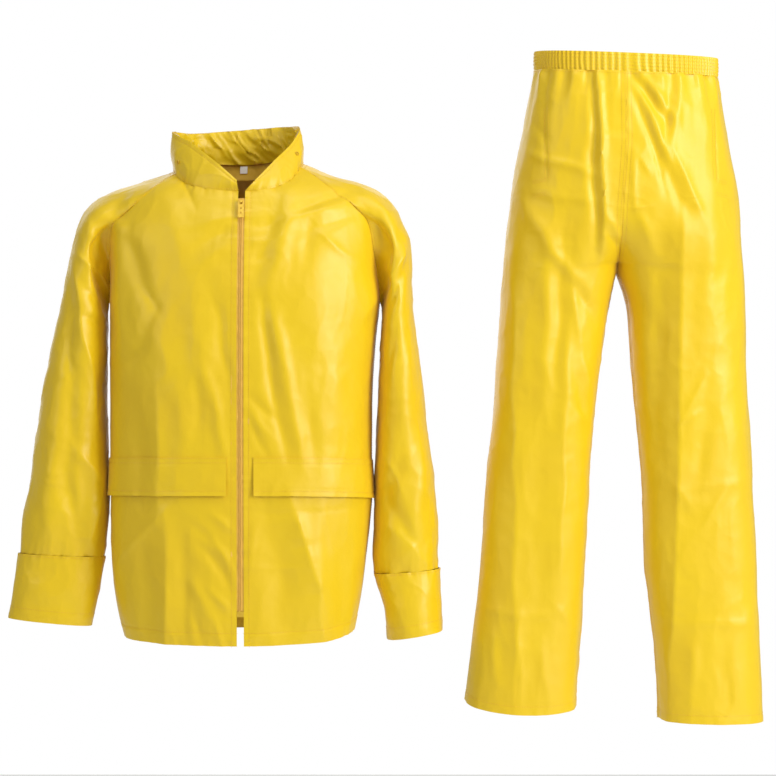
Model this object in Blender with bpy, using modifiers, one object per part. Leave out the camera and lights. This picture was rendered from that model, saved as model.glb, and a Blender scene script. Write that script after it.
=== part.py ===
"""Two-piece rain suit in thin coated nylon: a zipped raglan jacket and elastic-waist trousers.

Both garments are filled out and hollow, as when they are worn. Tables are in millimetres, with X
across the suit, Y to the back and Z up. The origin is at the base of the jacket's neck. Left and
right are the wearer's, so left is +X. Each cloth piece is a wall of its own, a thread's width away
from the pieces that it is sewn to.
"""
import math
from collections import namedtuple

import bmesh
import bpy
import numpy as np
from mathutils import Matrix, Vector

MM = 0.001
CLOTH = 1.5            # thickness of a cloth wall
SEAM_GAP = 0.3         # distance between two pieces at a seam
LAY_GAP = 0.4          # distance of a piece from the cloth that it lies on
BOXY = 0.8             # exponent of the body sections: 1 is an ellipse, less is squarer
SHARP_TURN = 0.2       # two pieces whose normals agree less than this meet in a sharp crease
HEM_EASE = 2.2         # exponent that bends a row from its middle height to its side height

# Jacket
FRONT_MIDDLE_X = 7.0   # the zip's line, turned a little towards the trousers
ZIP_HALF_BAND = 5.5    # half of the band that shows between the fronts
ZIP_TOP_Z = -33.0
ZIP_BOTTOM_Z = -690.0
ZIP_CALM = (0.0, 0.2, 0.7)    # share of a fold's height that is left in the columns beside the zip
TAPE_UNDER_FRONT = 9.0
TAPE_THICK = 1.0
COIL_RADIUS = 1.6
COIL_SEGMENTS = 6
FINE_STEPS = 90        # steps of the fine line that a section is measured on
PLACKET = 0.055        # share of a front's width between the zip and the first column
FRONT_SHARES = np.concatenate(([0.0], np.linspace(PLACKET, 1.0, 9)))
BACK_SHARES = np.linspace(0.0, 1.0, 10)
NECK_SIDE_X = (-110.0, 101.0)
NECK_SIDE_STEPS = 3
FLAP_TABLE_ROWS = (3, 4)    # body rows at the lower and the upper edge of a pocket flap
FLAP_LIFT = 2.5        # how far the lower edge of a flap stands off the front
FLAP_IN = 1            # columns of the front left free beside the zip
COLLAR_ROWS = 5
COLLAR_BULGE = 4.0
CUFF_COLUMNS = 24
RING_BOXY = 0.9        # exponent of the sleeve and cuff rings, as BOXY is for the body
HOOD_ENDS = 9          # collar columns left free at each end of the hood
HOOD_FIRST_ROW = 2     # collar row that the hood hangs down to
HOOD_THICK = 11.0
HOOD_TOP_THICK = 4.0
HOOD_CREASES = 5.5     # creases along the roll
HOOD_CREASE_DEPTH = 0.3    # of the roll's thickness
HOOD_CREASE_SLANT = 2.4    # radians that a crease moves along the roll from its foot to its top
HOOD_FOOT = 0.75       # share of a half wave that the roll's section takes, foot to top
HOOD_END_SHARE = 0.12  # share of a half wave left off at each end, so the ends stay open
HOOD_END_CURVE = 0.7
LABEL_SIZE = 12.0
LABEL_THICK = 0.8
LABEL_ROW = 1
EYELET_RING = 2.6
EYELET_WIRE = 0.8
EYELET_SEGMENTS = (14, 6)    # around the ring, and around its wire
EYELET_DEPTH_WEIGHT = 0.2    # how much nearness to the front counts in finding an eyelet's place
EYELETS = {"right": (-93.0, 29.5), "left": (93.4, 48.0)}    # x and z of each

# Trousers
LEG_COLUMNS = 12
GATHERS_PER_PANEL = 6
BAND_HEIGHT = 30.0
BAND_GATHERS = 84
BAND_GATHER_DEPTH = 1.5
BAND_SWELL = 1.5       # how far the band's middle stands out from its edges
BAND_CENTRE_X = 627.5
BAND_HALF_WIDTH = 148.5
BAND_DEPTH = 95.0
WAIST_Z = 176.0
WAIST_TILT_X = -0.0405
WAIST_TILT_Y = 0.083

# Zip slider, its pull tab and the box at the zip's lower end
SLIDER_TOP_Z = -36.0
SLIDER_SIZE = (9.0, 2.4, 14.0)
BAIL_SIZE = (3.2, 4.4, 5.2)    # the loop on the slider that the tab hangs in
BAIL_HOLE_RADIUS = 1.5
BAIL_BELOW_TOP = 4.0
PIVOT_OUT = 1.9                # pivot's distance in front of the slider
PULL_WIDTH = 10.0
PULL_THICK = 1.4
PULL_LENGTH = 28.0
PULL_BAR = 0.75                # half height of the bar that lies in the bail
PULL_EYE = (4.4, 4.6)          # width of the tab's eye, and its reach from the pivot
PULL_HOLES = (12.0, 20.0)      # round holes' distance below the pivot
PULL_HOLE_RADIUS = 1.2
BOX_SIZE = (11.0, 3.4, 9.0)
BEVEL = 0.6
PIN_SEGMENTS = 14

YELLOW = (0.87, 0.60, 0.02, 1.0)
YELLOW_DEEP = (0.68, 0.40, 0.02, 1.0)
ZIP_YELLOW = (0.88, 0.58, 0.08, 1.0)
WHITE = (0.85, 0.85, 0.83, 1.0)
METAL = (0.62, 0.50, 0.24, 1.0)

# Body rows from the hem up. Turn is how many degrees short of the side the raglan seam cuts the row.
BodyRow = namedtuple(
    "BodyRow",
    "steps front_z back_z right_z left_z right_x left_x front back front_turn back_turn back_share back_lift",
)
BODY = (
    BodyRow(2, -744, -738, -733, -722, -188, 186, 128, 118, 0, 0, 1, 0),
    BodyRow(3, -688, -688, -684, -676, -199, 195, 132, 121, 0, 0, 1, 0),
    BodyRow(3, -600, -600, -600, -598, -208, 205, 136, 123, 0, 0, 1, 0),
    BodyRow(2, -506, -508, -510, -516, -209, 212, 139, 124, 0, 0, 1, 0),
    BodyRow(3, -445, -447, -449, -453, -210, 212, 140, 125, 0, 0, 1, 0),
    BodyRow(2, -350, -350, -350, -350, -211, 214, 141, 126, 0, 0, 1, 0),
    BodyRow(2, -265, -265, -265, -265, -212, 219, 140, 127, 0, 0, 1, 0),
    BodyRow(1, -190, -190, -191, -190, -212.5, 226, 137, 127, 0, 0, 1, 0),
    BodyRow(1, -150, -148, -140, -145, -210.5, 221, 131, 126, 7, 8, 1, 0),
    BodyRow(1, -112, -110, -99, -108, -208, 215, 124, 123, 16, 18, 0.98, 2),
    BodyRow(1, -88, -82, -74, -68, -201, 207, 117, 118, 23, 24, 0.96, 4),
    BodyRow(1, -66, -56, -51, -46, -176, 188, 110, 111, 32, 34, 0.95, 6),
    BodyRow(1, -46, -33, -28, -26, -151, 160, 102, 101, 37, 41, 0.94, 9),
    BodyRow(1, -34, -12, -8, 0, -127, 129, 97, 90, 30, 39, 0.92, 12),
    BodyRow(1, -22, 9, 10, 22, -104, 98, 92, 75, 17, 35, 0.9, 14),
)
ARMPIT_ROW = 7

# Sleeve rings from the raglan seam to the cuff, by their underarm point and their top point.
# Round goes from 0, the seam's own shape, to 1, an ellipse.
SleeveRing = namedtuple("SleeveRing", "steps in_x in_z out_x out_z mid_y depth round")
RIGHT_SLEEVE = (
    SleeveRing(1, -214.5, -194, -165, 1, 0, 67, 0.12),
    SleeveRing(1, -216, -199, -222, -21, 0, 68, 0.4),
    SleeveRing(1, -217, -207, -249, -41, 1, 70, 0.7),
    SleeveRing(1, -218, -217, -263, -66, 2, 72, 0.9),
    SleeveRing(1, -218, -236, -276, -119, 3, 74, 1),
    SleeveRing(1, -218, -268, -289, -192, 4, 76, 1),
    SleeveRing(2, -218, -318, -305, -262, 5, 77, 1),
    SleeveRing(2, -217, -400, -322, -350, 5, 75, 1),
    SleeveRing(2, -216, -480, -338, -440, 2, 69, 1),
    SleeveRing(1, -215.5, -540, -350, -530, -2, 60, 1),
    SleeveRing(1, -219, -580, -355, -570, -4, 52, 1),
    SleeveRing(1, -223, -609, -357.5, -603, -6, 42, 1),
)
LEFT_SLEEVE = (
    SleeveRing(1, 228, -193, 160, 7, 0, 67, 0.12),
    SleeveRing(1, 229.5, -198, 218, -13, 0, 68, 0.4),
    SleeveRing(1, 231, -206, 251, -42, 1, 70, 0.7),
    SleeveRing(1, 231, -216, 265, -70, 2, 72, 0.9),
    SleeveRing(1, 230.5, -236, 275, -100, 3, 76, 1),
    SleeveRing(1, 229, -268, 278, -160, 4, 80, 1),
    SleeveRing(2, 226, -318, 283, -236, 5, 82, 1),
    SleeveRing(2, 221.5, -400, 295, -330, 5, 80, 1),
    SleeveRing(2, 218, -480, 308, -425, 2, 76, 1),
    SleeveRing(1, 216.5, -560, 318, -530, -2, 70, 1),
    SleeveRing(1, 215.5, -605, 321.5, -590, -4, 62, 1),
    SleeveRing(1, 219, -636, 322.5, -628, -6, 52, 1),
)
CuffRing = namedtuple("CuffRing", "steps in_x in_z out_x out_z mid_y depth")
RIGHT_CUFF = (
    CuffRing(2, -221, -609.6, -361, -603.6, -6, 44),
    CuffRing(1, -229, -664, -368.5, -654, -7, 43),
    CuffRing(1, -242, -722, -376, -709, -8, 38),
)
LEFT_CUFF = (
    CuffRing(2, 217, -636.6, 325, -628.6, -6, 54),
    CuffRing(1, 233, -688, 326, -680, -7, 56),
    CuffRing(1, 240, -744, 328, -729, -8, 56),
)

# Top edge of the collar, from the right side of the zip round the back to the left side.
CollarPoint = namedtuple("CollarPoint", "place x y z")
COLLAR_TOP = (
    CollarPoint(0.0, -1, -94, -5),
    CollarPoint(0.08, -36, -78, 26),
    CollarPoint(0.16, -77, -46, 59),
    CollarPoint(0.25, -111, -6, 80),
    CollarPoint(0.36, -84, 48, 84),
    CollarPoint(0.5, -4, 76, 92),
    CollarPoint(0.64, 72, 50, 95),
    CollarPoint(0.76, 96, 2, 87),
    CollarPoint(0.84, 84, -30, 60),
    CollarPoint(0.92, 58, -66, 29),
    CollarPoint(1.0, 29, -92, -4),
)

# Leg rows from the waist down. Turn grows from 90 at the centre seam to 180 at the inseam.
LegRow = namedtuple("LegRow", "steps out_z in_z out_x in_x back_in_x front back turn sag gather")
RIGHT_LEG = (
    LegRow(1, 182, 168, 479, 619, 627, 95, 95, 90, 0, 2.4),
    LegRow(1, 150, 142, 473, 619, 627, 100, 100, 90, 0, 3.4),
    LegRow(1, 110, 106, 465, 619, 627, 105, 106, 90, 0, 1.8),
    LegRow(2, 54, 52, 453, 619, 625, 110, 114, 90, 0, 0),
    LegRow(2, -10, -6, 442, 615, 620, 112, 120, 90, 0, 0),
    LegRow(1, -60, -50, 436, 612, 616, 110, 122, 95, 0, 0),
    LegRow(1, -90, -84, 433, 611.5, 614, 106, 120, 115, 0, 0),
    LegRow(1, -120, -112, 430, 611.5, 613, 100, 115, 137, 0, 0),
    LegRow(1, -148, -130, 428, 612, 612.5, 95, 110, 158, 0, 0),
    LegRow(1, -185, -139, 425, 612, 612, 90, 106, 180, 0, 0),
    LegRow(1, -240, -196, 422, 600.5, 600.5, 84, 98, 180, 0, 0),
    LegRow(2, -300, -275, 417.7, 588, 588, 80, 90, 180, 0, 0),
    LegRow(2, -380, -370, 412, 575, 575, 76, 80, 180, 0, 0),
    LegRow(2, -484, -480, 401.6, 568.5, 568.5, 73, 75, 180, 0, 0),
    LegRow(2, -616, -612, 390.5, 560.5, 560.5, 71, 72, 180, 2, 0),
    LegRow(2, -740, -738, 378.5, 552.5, 552.5, 69, 69, 180, 6, 0),
    LegRow(1, -842, -852, 366.5, 546, 546, 68, 68, 180, 14, 0),
)
LEFT_LEG = (
    LegRow(1, 170, 168, 776, 619, 627, 95, 95, 90, 0, 2.4),
    LegRow(1, 138, 142, 781.5, 619, 627, 100, 100, 90, 0, 3.4),
    LegRow(1, 104, 106, 787, 619, 627, 105, 106, 90, 0, 1.8),
    LegRow(2, 46, 52, 797, 619, 625, 110, 114, 90, 0, 0),
    LegRow(2, -20, -6, 808, 615, 620, 112, 120, 90, 0, 0),
    LegRow(1, -62, -50, 812, 612, 616, 110, 122, 95, 0, 0),
    LegRow(1, -90, -84, 813.5, 611.5, 614, 106, 120, 115, 0, 0),
    LegRow(1, -120, -112, 815, 611.5, 613, 100, 115, 137, 0, 0),
    LegRow(1, -148, -130, 816.5, 612, 612.5, 95, 110, 158, 0, 0),
    LegRow(1, -185, -139, 818, 612, 612, 90, 106, 180, 0, 0),
    LegRow(1, -240, -196, 820, 629.5, 629.5, 84, 98, 180, 0, 0),
    LegRow(2, -300, -275, 822, 636, 636, 80, 90, 180, 0, 0),
    LegRow(2, -380, -370, 827.5, 644.5, 644.5, 76, 80, 180, 0, 0),
    LegRow(2, -484, -480, 833, 651.5, 651.5, 73, 75, 180, 0, 0),
    LegRow(2, -616, -612, 838.8, 659, 659, 71, 72, 180, 0, 0),
    LegRow(2, -740, -738, 844, 671, 671, 69, 69, 180, 0, 0),
    LegRow(1, -876, -872, 851, 681, 681, 68, 68, 180, 2, 0),
)
FINE_LEG_ROWS = 4      # rows at the waist that have twice the columns, for the gathers

# Largest folds: a ridge, or a trough where height is below 0, along a line seen from the front.
Fold = namedtuple("Fold", "side x1 z1 x2 z2 height width")
FOLDS = (
    Fold("front", 95, -535, 134, -749, 7, 18),
    Fold("front", 60, -560, 92, -740, -6, 22),
    Fold("front", -190, -610, -122, -538, 5, 18),
    Fold("front", -111, -560, -111, -735, 4, 18),
    Fold("front", -150, -160, -130, -260, -6, 30),
    Fold("front", 133, -130, 133, -400, 5, 42),
    Fold("front", 84, -30, 172, -70, 5, 18),
    Fold("front", -150, -60, -70, -40, 4, 20),
    Fold("front", 272, -104, 214, -200, 8, 18),
    Fold("front", 262, -140, 232, -215, -6, 16),
    Fold("front", -262, -86, -218, -185, 7, 18),
    Fold("front", -272, -150, -225, -225, -6, 16),
    Fold("front", -335, -480, -235, -420, 4, 20),
    Fold("front", -345, -560, -230, -520, -4, 20),
    Fold("front", 310, -560, 225, -500, 4, 20),
    Fold("front", 305, -450, 235, -400, -4, 20),
    Fold("back", -150, -60, 0, -150, 5, 28),
    Fold("back", 150, -60, 0, -150, 5, 28),
    Fold("back", -190, -300, -80, -420, -6, 30),
    Fold("back", 190, -300, 80, -420, -6, 30),
    Fold("back", -90, -500, -130, -735, 6, 24),
    Fold("back", 100, -520, 120, -725, 6, 24),
    Fold("back", -280, -180, -225, -240, 6, 20),
    Fold("back", 276, -180, 232, -240, 6, 20),
    Fold("back", -340, -500, -230, -440, 4, 20),
    Fold("back", 312, -520, 228, -460, 4, 20),
    Fold("front", 706, -200, 697, -840, 5, 18),
    Fold("front", 441, -200, 446, -600, 5, 18),
    Fold("front", 521, -330, 512, -540, 5, 18),
    Fold("front", 578, -105, 515, -30, 5, 20),
    Fold("front", 650, -105, 715, -20, 5, 20),
    Fold("front", 590, -220, 500, -190, -4, 18),
    Fold("front", 640, -240, 740, -200, -4, 18),
    Fold("back", 570, -90, 500, -20, 6, 24),
    Fold("back", 660, -90, 740, -20, 6, 24),
    Fold("back", 440, -360, 560, -400, -5, 22),
    Fold("back", 660, -380, 810, -350, -5, 22),
    Fold("back", 470, -420, 440, -820, 5, 22),
    Fold("back", 750, -420, 770, -820, 5, 22),
)


def material(name, color, roughness, metallic=0.0, sheen=0.0):
    """A Principled material with the piece's own colour and finish."""
    made = bpy.data.materials.new(name)
    made.use_nodes = True
    shader = made.node_tree.nodes["Principled BSDF"]
    shader.inputs["Base Color"].default_value = color
    shader.inputs["Roughness"].default_value = roughness
    shader.inputs["Metallic"].default_value = metallic
    shader.inputs["Sheen Weight"].default_value = sheen
    return made


def add_object(name, mesh, finish, collection):
    """Link a mesh as one named piece with its own material."""
    mesh.materials.append(finish)
    piece = bpy.data.objects.new(name, mesh)
    collection.objects.link(piece)
    return piece


def fill_in(table):
    """A table's rows with the rows between them, every column on a smooth curve."""
    row_type = type(table[0])
    last = len(table) - 1
    filled = []
    for index in range(last):
        before = np.array(table[max(index - 1, 0)], float)
        start = np.array(table[index], float)
        end = np.array(table[index + 1], float)
        after = np.array(table[min(index + 2, last)], float)
        for step in range(table[index].steps):
            t = step / table[index].steps
            slope_in = (end - before) / 2
            slope_out = (after - start) / 2
            values = (
                start * (2 * t**3 - 3 * t**2 + 1)
                + slope_in * (t**3 - 2 * t**2 + t)
                + end * (3 * t**2 - 2 * t**3)
                + slope_out * (t**3 - t**2)
            )
            filled.append(row_type(*values))
    filled.append(table[last])
    return filled


def rows_before(table, index):
    """How many filled-in rows come before a row of the table."""
    return sum(row.steps for row in table[:index])


def power(value, exponent):
    """A signed power, which squares off a sine or a cosine."""
    return math.copysign(abs(value) ** exponent, value)


def even_places(points, shares):
    """Points at given shares of the length along a finely drawn line."""
    lengths = np.concatenate(([0.0], np.cumsum(np.linalg.norm(np.diff(points, axis=0), axis=1))))
    return np.array([np.interp(shares * lengths[-1], lengths, points[:, i]) for i in range(2)]).T


def section(inner, outer, depth, turn_in, turn_out, shares, ease):
    """One row of a body panel: an arc from its inner point to its outer point, as seen from above.

    The points are (x, z). Turns are in degrees round the section: 0 at the side, 90 at the middle.
    Depth is below 0 for a front and above 0 for a back. Shares are places along the arc.
    """
    turns = np.radians(np.linspace(turn_in, turn_out, FINE_STEPS))
    across = np.array([power(math.cos(turn), BOXY) for turn in turns])
    deep = np.array([power(math.sin(turn), BOXY) for turn in turns])
    half = (outer[0] - inner[0]) / (across[-1] - across[0])
    x = outer[0] + half * (across - across[-1])
    arc = even_places(np.column_stack((x, depth * deep)), shares)
    z = inner[1] + (outer[1] - inner[1]) * shares**ease
    return np.column_stack((arc, z))


def front_panel(side):
    """Rows of one jacket front, each from the zip's edge to the side or raglan seam."""
    rows = []
    for row in fill_in(BODY):
        edge = (row.right_x, row.right_z) if side < 0 else (row.left_x, row.left_z)
        start = (FRONT_MIDDLE_X + side * ZIP_HALF_BAND, row.front_z)
        turn = max(row.front_turn, 0.0)
        rows.append(section(start, edge, -row.front, 90, turn, FRONT_SHARES, HEM_EASE))
    return rows


def back_panel():
    """Rows of the jacket back, each from the wearer's right seam to the left seam."""
    rows = []
    for row in fill_in(BODY):
        middle = (0.0, row.back_z)
        right = (row.right_x * row.back_share, row.right_z + row.back_lift)
        left = (row.left_x * row.back_share, row.left_z + row.back_lift)
        turn = max(row.back_turn, 0.0)
        right_half = section(middle, right, row.back, 90, turn, BACK_SHARES, HEM_EASE)
        left_half = section(middle, left, row.back, 90, turn, BACK_SHARES, HEM_EASE)
        rows.append(np.concatenate((right_half[::-1], left_half[1:])))
    return rows


def neck_side(front_point, back_point, side_x):
    """The short stretch of a sleeve's edge that runs along the collar."""
    points = []
    for step in range(1, NECK_SIDE_STEPS):
        share = step / NECK_SIDE_STEPS
        point = front_point * (1 - share) + back_point * share
        bulge = math.sin(math.pi * share)
        point[0] += (side_x - point[0]) * bulge
        points.append(point)
    return points


def ring(row, around):
    """A closed ring between an underarm point and a top point, front half first."""
    points = []
    for step in range(around):
        turn = 2 * math.pi * step / around
        share = (1 - power(math.cos(turn), RING_BOXY)) / 2
        x = row.in_x + (row.out_x - row.in_x) * share
        z = row.in_z + (row.out_z - row.in_z) * share
        y = row.mid_y - row.depth * power(math.sin(turn), RING_BOXY)
        points.append((x, y, z))
    return np.array(points)


def sleeve_panel(table, seam):
    """Rings of a sleeve, from the closed raglan seam to the cuff."""
    around = len(seam)
    top = seam[around // 2]
    chord = top - seam[0]
    share = np.array([np.dot(p - seam[0], chord) / np.dot(chord, chord) for p in seam])
    off_chord = seam - seam[0] - np.outer(share, chord)
    deepest = np.abs(seam[:, 1]).max()
    rows = [seam]
    for row in fill_in(table):
        full = ring(row, around)
        low = np.array((row.in_x, row.mid_y, row.in_z))
        high = np.array((row.out_x, row.mid_y, row.out_z))
        like_seam = low + np.outer(share, high - low)
        like_seam[:, 0] += off_chord[:, 0]
        like_seam[:, 2] += off_chord[:, 2]
        like_seam[:, 1] = row.mid_y + seam[:, 1] * row.depth / deepest
        blend = min(max(row.round, 0.0), 1.0)
        rows.append(like_seam * (1 - blend) + full * blend)
    return rows


def smooth_loop(points, places, wanted):
    """Points at the wanted places along a curve through a few given ones."""
    slopes = np.gradient(points, places, axis=0)
    found = []
    for place in wanted:
        index = min(int(np.searchsorted(places, place, side="right")) - 1, len(places) - 2)
        span = places[index + 1] - places[index]
        t = (place - places[index]) / span
        found.append(
            points[index] * (2 * t**3 - 3 * t**2 + 1)
            + slopes[index] * span * (t**3 - 2 * t**2 + t)
            + points[index + 1] * (3 * t**2 - 2 * t**3)
            + slopes[index + 1] * span * (t**3 - t**2)
        )
    return np.array(found)


def collar_panel(base):
    """Rows of the collar from the neck seam up to its top edge."""
    lengths = np.linalg.norm(np.diff(base, axis=0), axis=1)
    wanted = np.concatenate(([0.0], np.cumsum(lengths))) / lengths.sum()
    table = np.array([point[1:] for point in COLLAR_TOP], float)
    places = np.array([point.place for point in COLLAR_TOP])
    top = smooth_loop(table, places, wanted)
    middle = base.mean(axis=0)
    rows = []
    for row in range(COLLAR_ROWS + 1):
        share = row / COLLAR_ROWS
        points = base * (1 - share) + top * share
        outwards = points - middle
        outwards[:, 2] = 0
        outwards /= np.linalg.norm(outwards, axis=1)[:, None]
        rows.append(points + outwards * COLLAR_BULGE * math.sin(math.pi * share))
    return rows


def waist_height(x, y):
    """Height of the seam under the waistband, which lies in one tilted plane."""
    return WAIST_Z + WAIST_TILT_X * (x - BAND_CENTRE_X) + WAIST_TILT_Y * y


def lay_in_waist_plane(panel):
    """Keep a panel's first row, and the wall's thickness there, in the plane of the waist seam."""
    row, normals = panel.rows[0], panel.normals[0]
    row[:, 2] = waist_height(row[:, 0], row[:, 1])
    normals[:, 2] = WAIST_TILT_X * normals[:, 0] + WAIST_TILT_Y * normals[:, 1]


def leg_panel(table, back):
    """Rows of one trouser panel, each from the centre seam or inseam to the side seam."""
    rows = []
    for index, row in enumerate(fill_in(table)):
        columns = LEG_COLUMNS * 2 if index < FINE_LEG_ROWS else LEG_COLUMNS
        inner = (row.back_in_x if back else row.in_x, row.in_z)
        depth = row.back if back else -row.front
        turn = min(max(row.turn, 90.0), 180.0)
        shares = np.linspace(0, 1, columns + 1)
        points = section(inner, (row.out_x, row.out_z), depth, turn, 0, shares, 1.0)
        points[:, 2] -= row.sag * np.sin(math.pi * shares)
        if index == 0:
            points[:, 2] = waist_height(points[:, 0], points[:, 1])
        rows.append(points)
    return rows


def gather(rows, normals, table):
    """Press the waist gathers into a panel, fading out down the leg."""
    for index, row in enumerate(fill_in(table)):
        if row.gather > 0:
            shares = np.linspace(0, 1, len(rows[index]))
            wave = -np.cos(2 * math.pi * GATHERS_PER_PANEL * shares)
            wave *= np.minimum(1, 8 * np.minimum(shares, 1 - shares))
            rows[index] = rows[index] + normals[index] * (row.gather * wave)[:, None]
    return rows


def waistband_rows():
    """Rings of the waistband, shirred all round."""
    rows = []
    around = BAND_GATHERS * 2
    for share in (0.0, 0.5, 1.0):
        points = []
        swell = BAND_SWELL * math.sin(math.pi * share)
        for step in range(around):
            turn = 2 * math.pi * step / around
            shirr = BAND_GATHER_DEPTH * (1 if step % 2 else -1)
            x = BAND_CENTRE_X + (BAND_HALF_WIDTH + swell + shirr) * power(math.cos(turn), BOXY)
            y = (BAND_DEPTH + swell + shirr) * power(math.sin(turn), BOXY)
            points.append((x, y, waist_height(x, y) + share * BAND_HEIGHT))
        rows.append(np.array(points))
    return rows


class Panel:
    """A cloth piece before it has thickness: rows of points, and normals that face out."""

    def __init__(self, name, rows, centre, closed=False, calm=()):
        self.name = name
        self.calm = calm
        self.rows = [np.array(row, float) for row in rows]
        self.closed = closed
        self.centre = np.array(centre, float)
        self.own = []
        self.normals = []
        self.push = []

    def faces(self):
        """Triangles and quads as (row, column) corners, turned to face out."""
        found = []
        for r in range(len(self.rows) - 1):
            low, high = len(self.rows[r]), len(self.rows[r + 1])
            spans = high if self.closed else high - 1
            if low == high:
                for c in range(spans):
                    d = (c + 1) % high
                    found.append(((r, c), (r, d), (r + 1, d), (r + 1, c)))
            else:
                for c in range(spans):
                    found.append(((r, 2 * c), (r, 2 * c + 1), (r + 1, c)))
                    found.append(((r, 2 * c + 1), (r + 1, c + 1), (r + 1, c)))
                    found.append(((r, 2 * c + 1), (r, 2 * c + 2), (r + 1, c + 1)))
        facing = 0.0
        for face in found:
            corners = [self.rows[r][c] for r, c in face]
            normal = np.cross(corners[1] - corners[0], corners[2] - corners[0])
            facing += np.dot(normal, np.mean(corners, axis=0) - self.centre)
        if facing < 0:
            found = [face[::-1] for face in found]
        return found

    def find_own_normals(self):
        """The panel's own normal at each point."""
        self.own = [np.zeros_like(row) for row in self.rows]
        for face in self.faces():
            corners = [self.rows[r][c] for r, c in face]
            normal = np.cross(corners[1] - corners[0], corners[2] - corners[0])
            if len(face) == 4:
                normal = np.cross(corners[2] - corners[0], corners[3] - corners[1])
            for r, c in face:
                self.own[r][c] += normal
        for row in self.own:
            row /= np.linalg.norm(row, axis=1)[:, None]
        self.normals = [row.copy() for row in self.own]
        self.push = [row.copy() for row in self.own]

    def border(self):
        """The (row, column) of each point on an open edge."""
        last = len(self.rows) - 1
        edge = {(0, c) for c in range(len(self.rows[0]))}
        edge |= {(last, c) for c in range(len(self.rows[last]))}
        if not self.closed:
            edge |= {(r, 0) for r in range(last + 1)}
            edge |= {(r, len(self.rows[r]) - 1) for r in range(last + 1)}
        return edge


def share_normals(panels):
    """Give panels that meet at a seam one normal along it, so that their walls mitre."""
    at_point = {}
    for panel in panels:
        panel.find_own_normals()
        for r, c in panel.border():
            key = tuple(np.round(panel.rows[r][c], 2))
            at_point.setdefault(key, []).append((panel, r, c))
    for meeting in at_point.values():
        own = np.array([panel.own[r][c] for panel, r, c in meeting])
        group = own @ own.T > SHARP_TURN
        for _ in meeting:
            group = group @ group
        push = own.mean(axis=0) if group.all() else np.zeros(3)
        for (panel, r, c), mates in zip(meeting, group):
            panel.normals[r][c] = np.linalg.lstsq(own[mates], np.ones(mates.sum()), rcond=0.25)[0]
            panel.push[r][c] = push


def press_folds(panels):
    """Move the points of each panel out or in by the table of folds."""
    for panel in panels:
        for row, push in zip(panel.rows, panel.push):
            calm = np.ones(len(row))
            calm[: len(panel.calm)] = panel.calm
            for fold in FOLDS:
                start = np.array((fold.x1, fold.z1), float)
                along = np.array((fold.x2, fold.z2), float) - start
                offset = row[:, (0, 2)] - start
                share = np.clip(offset @ along / (along @ along), 0, 1)
                distance = np.linalg.norm(offset - np.outer(share, along), axis=1)
                faces_side = -push[:, 1] if fold.side == "front" else push[:, 1]
                strength = np.clip(faces_side * 2 - 0.5, 0, 1) * calm
                amount = fold.height * strength * np.exp(-((distance / fold.width) ** 2))
                row += push * amount[:, None]


def draw_back(line, inside, closed):
    """Steps of half a seam gap from an edge line towards the line inside it, square to the edge."""
    if closed:
        along = np.roll(line, -1, axis=0) - np.roll(line, 1, axis=0)
    else:
        along = np.gradient(line, axis=0)
    along /= np.linalg.norm(along, axis=1)[:, None]
    step = inside - line
    step -= along * np.sum(step * along, axis=1)[:, None]
    return step / np.linalg.norm(step, axis=1)[:, None] * (SEAM_GAP / 2)


def pulled_in(panel):
    """The panel's points with its open edges drawn back by half a seam gap."""
    rows = [row.copy() for row in panel.rows]
    if not panel.closed:
        for edge, inside in ((0, 1), (-1, -2)):
            line = np.array([row[edge] for row in panel.rows])
            beside = np.array([row[inside] for row in panel.rows])
            for row, step in zip(rows, draw_back(line, beside, False)):
                row[edge] += step
    for edge, inside in ((0, 1), (-1, -2)):
        line = panel.rows[edge]
        beside = panel.rows[inside]
        if len(beside) != len(line):
            places = np.linspace(0, len(beside) - 1, len(line))
            beside = np.array([np.interp(places, range(len(beside)), beside[:, i]) for i in range(3)]).T
        rows[edge] += draw_back(line, beside, panel.closed)
    return rows


def wall_mesh(panel, outer_rows, inner_rows):
    """A closed wall between an outer and an inner set of rows."""
    mesh = bpy.data.meshes.new(panel.name)
    work = bmesh.new()
    outer = [[work.verts.new(p * MM) for p in row] for row in outer_rows]
    inner = [[work.verts.new(p * MM) for p in row] for row in inner_rows]
    edges = {}
    for face in panel.faces():
        work.faces.new([outer[r][c] for r, c in face])
        work.faces.new([inner[r][c] for r, c in reversed(face)])
        for start, end in zip(face, face[1:] + face[:1]):
            if (end, start) in edges:
                del edges[(end, start)]
            else:
                edges[(start, end)] = True
    for (r, c), (s, d) in edges:
        work.faces.new((outer[s][d], outer[r][c], inner[r][c], inner[s][d]))
    bmesh.ops.triangulate(work, faces=work.faces)
    work.to_mesh(mesh)
    work.free()
    mesh.shade_smooth()
    mesh.set_sharp_from_angle(angle=math.radians(40))
    return mesh


def make_wall(panel, finish, collection, thickness=CLOTH):
    """One cloth piece as a solid wall under its outer face."""
    outer = pulled_in(panel)
    inner = [row - normals * thickness for row, normals in zip(outer, panel.normals)]
    return add_object(panel.name, wall_mesh(panel, outer, inner), finish, collection)


def make_flap(name, front, finish, collection):
    """A pocket flap that lies on a front, sewn along its top and free below."""
    first, last = (rows_before(BODY, row) for row in FLAP_TABLE_ROWS)
    rows = []
    for index in range(first, last + 1):
        share = (last - index) / (last - first)
        out = LAY_GAP + CLOTH + FLAP_LIFT * share
        lifted = front.rows[index] + front.normals[index] * out
        rows.append(lifted[FLAP_IN:])
    panel = Panel(name, rows, front.centre)
    panel.find_own_normals()
    panel.normals = [front.normals[i][FLAP_IN:] for i in range(first, last + 1)]
    return make_wall(panel, finish, collection)


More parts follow.
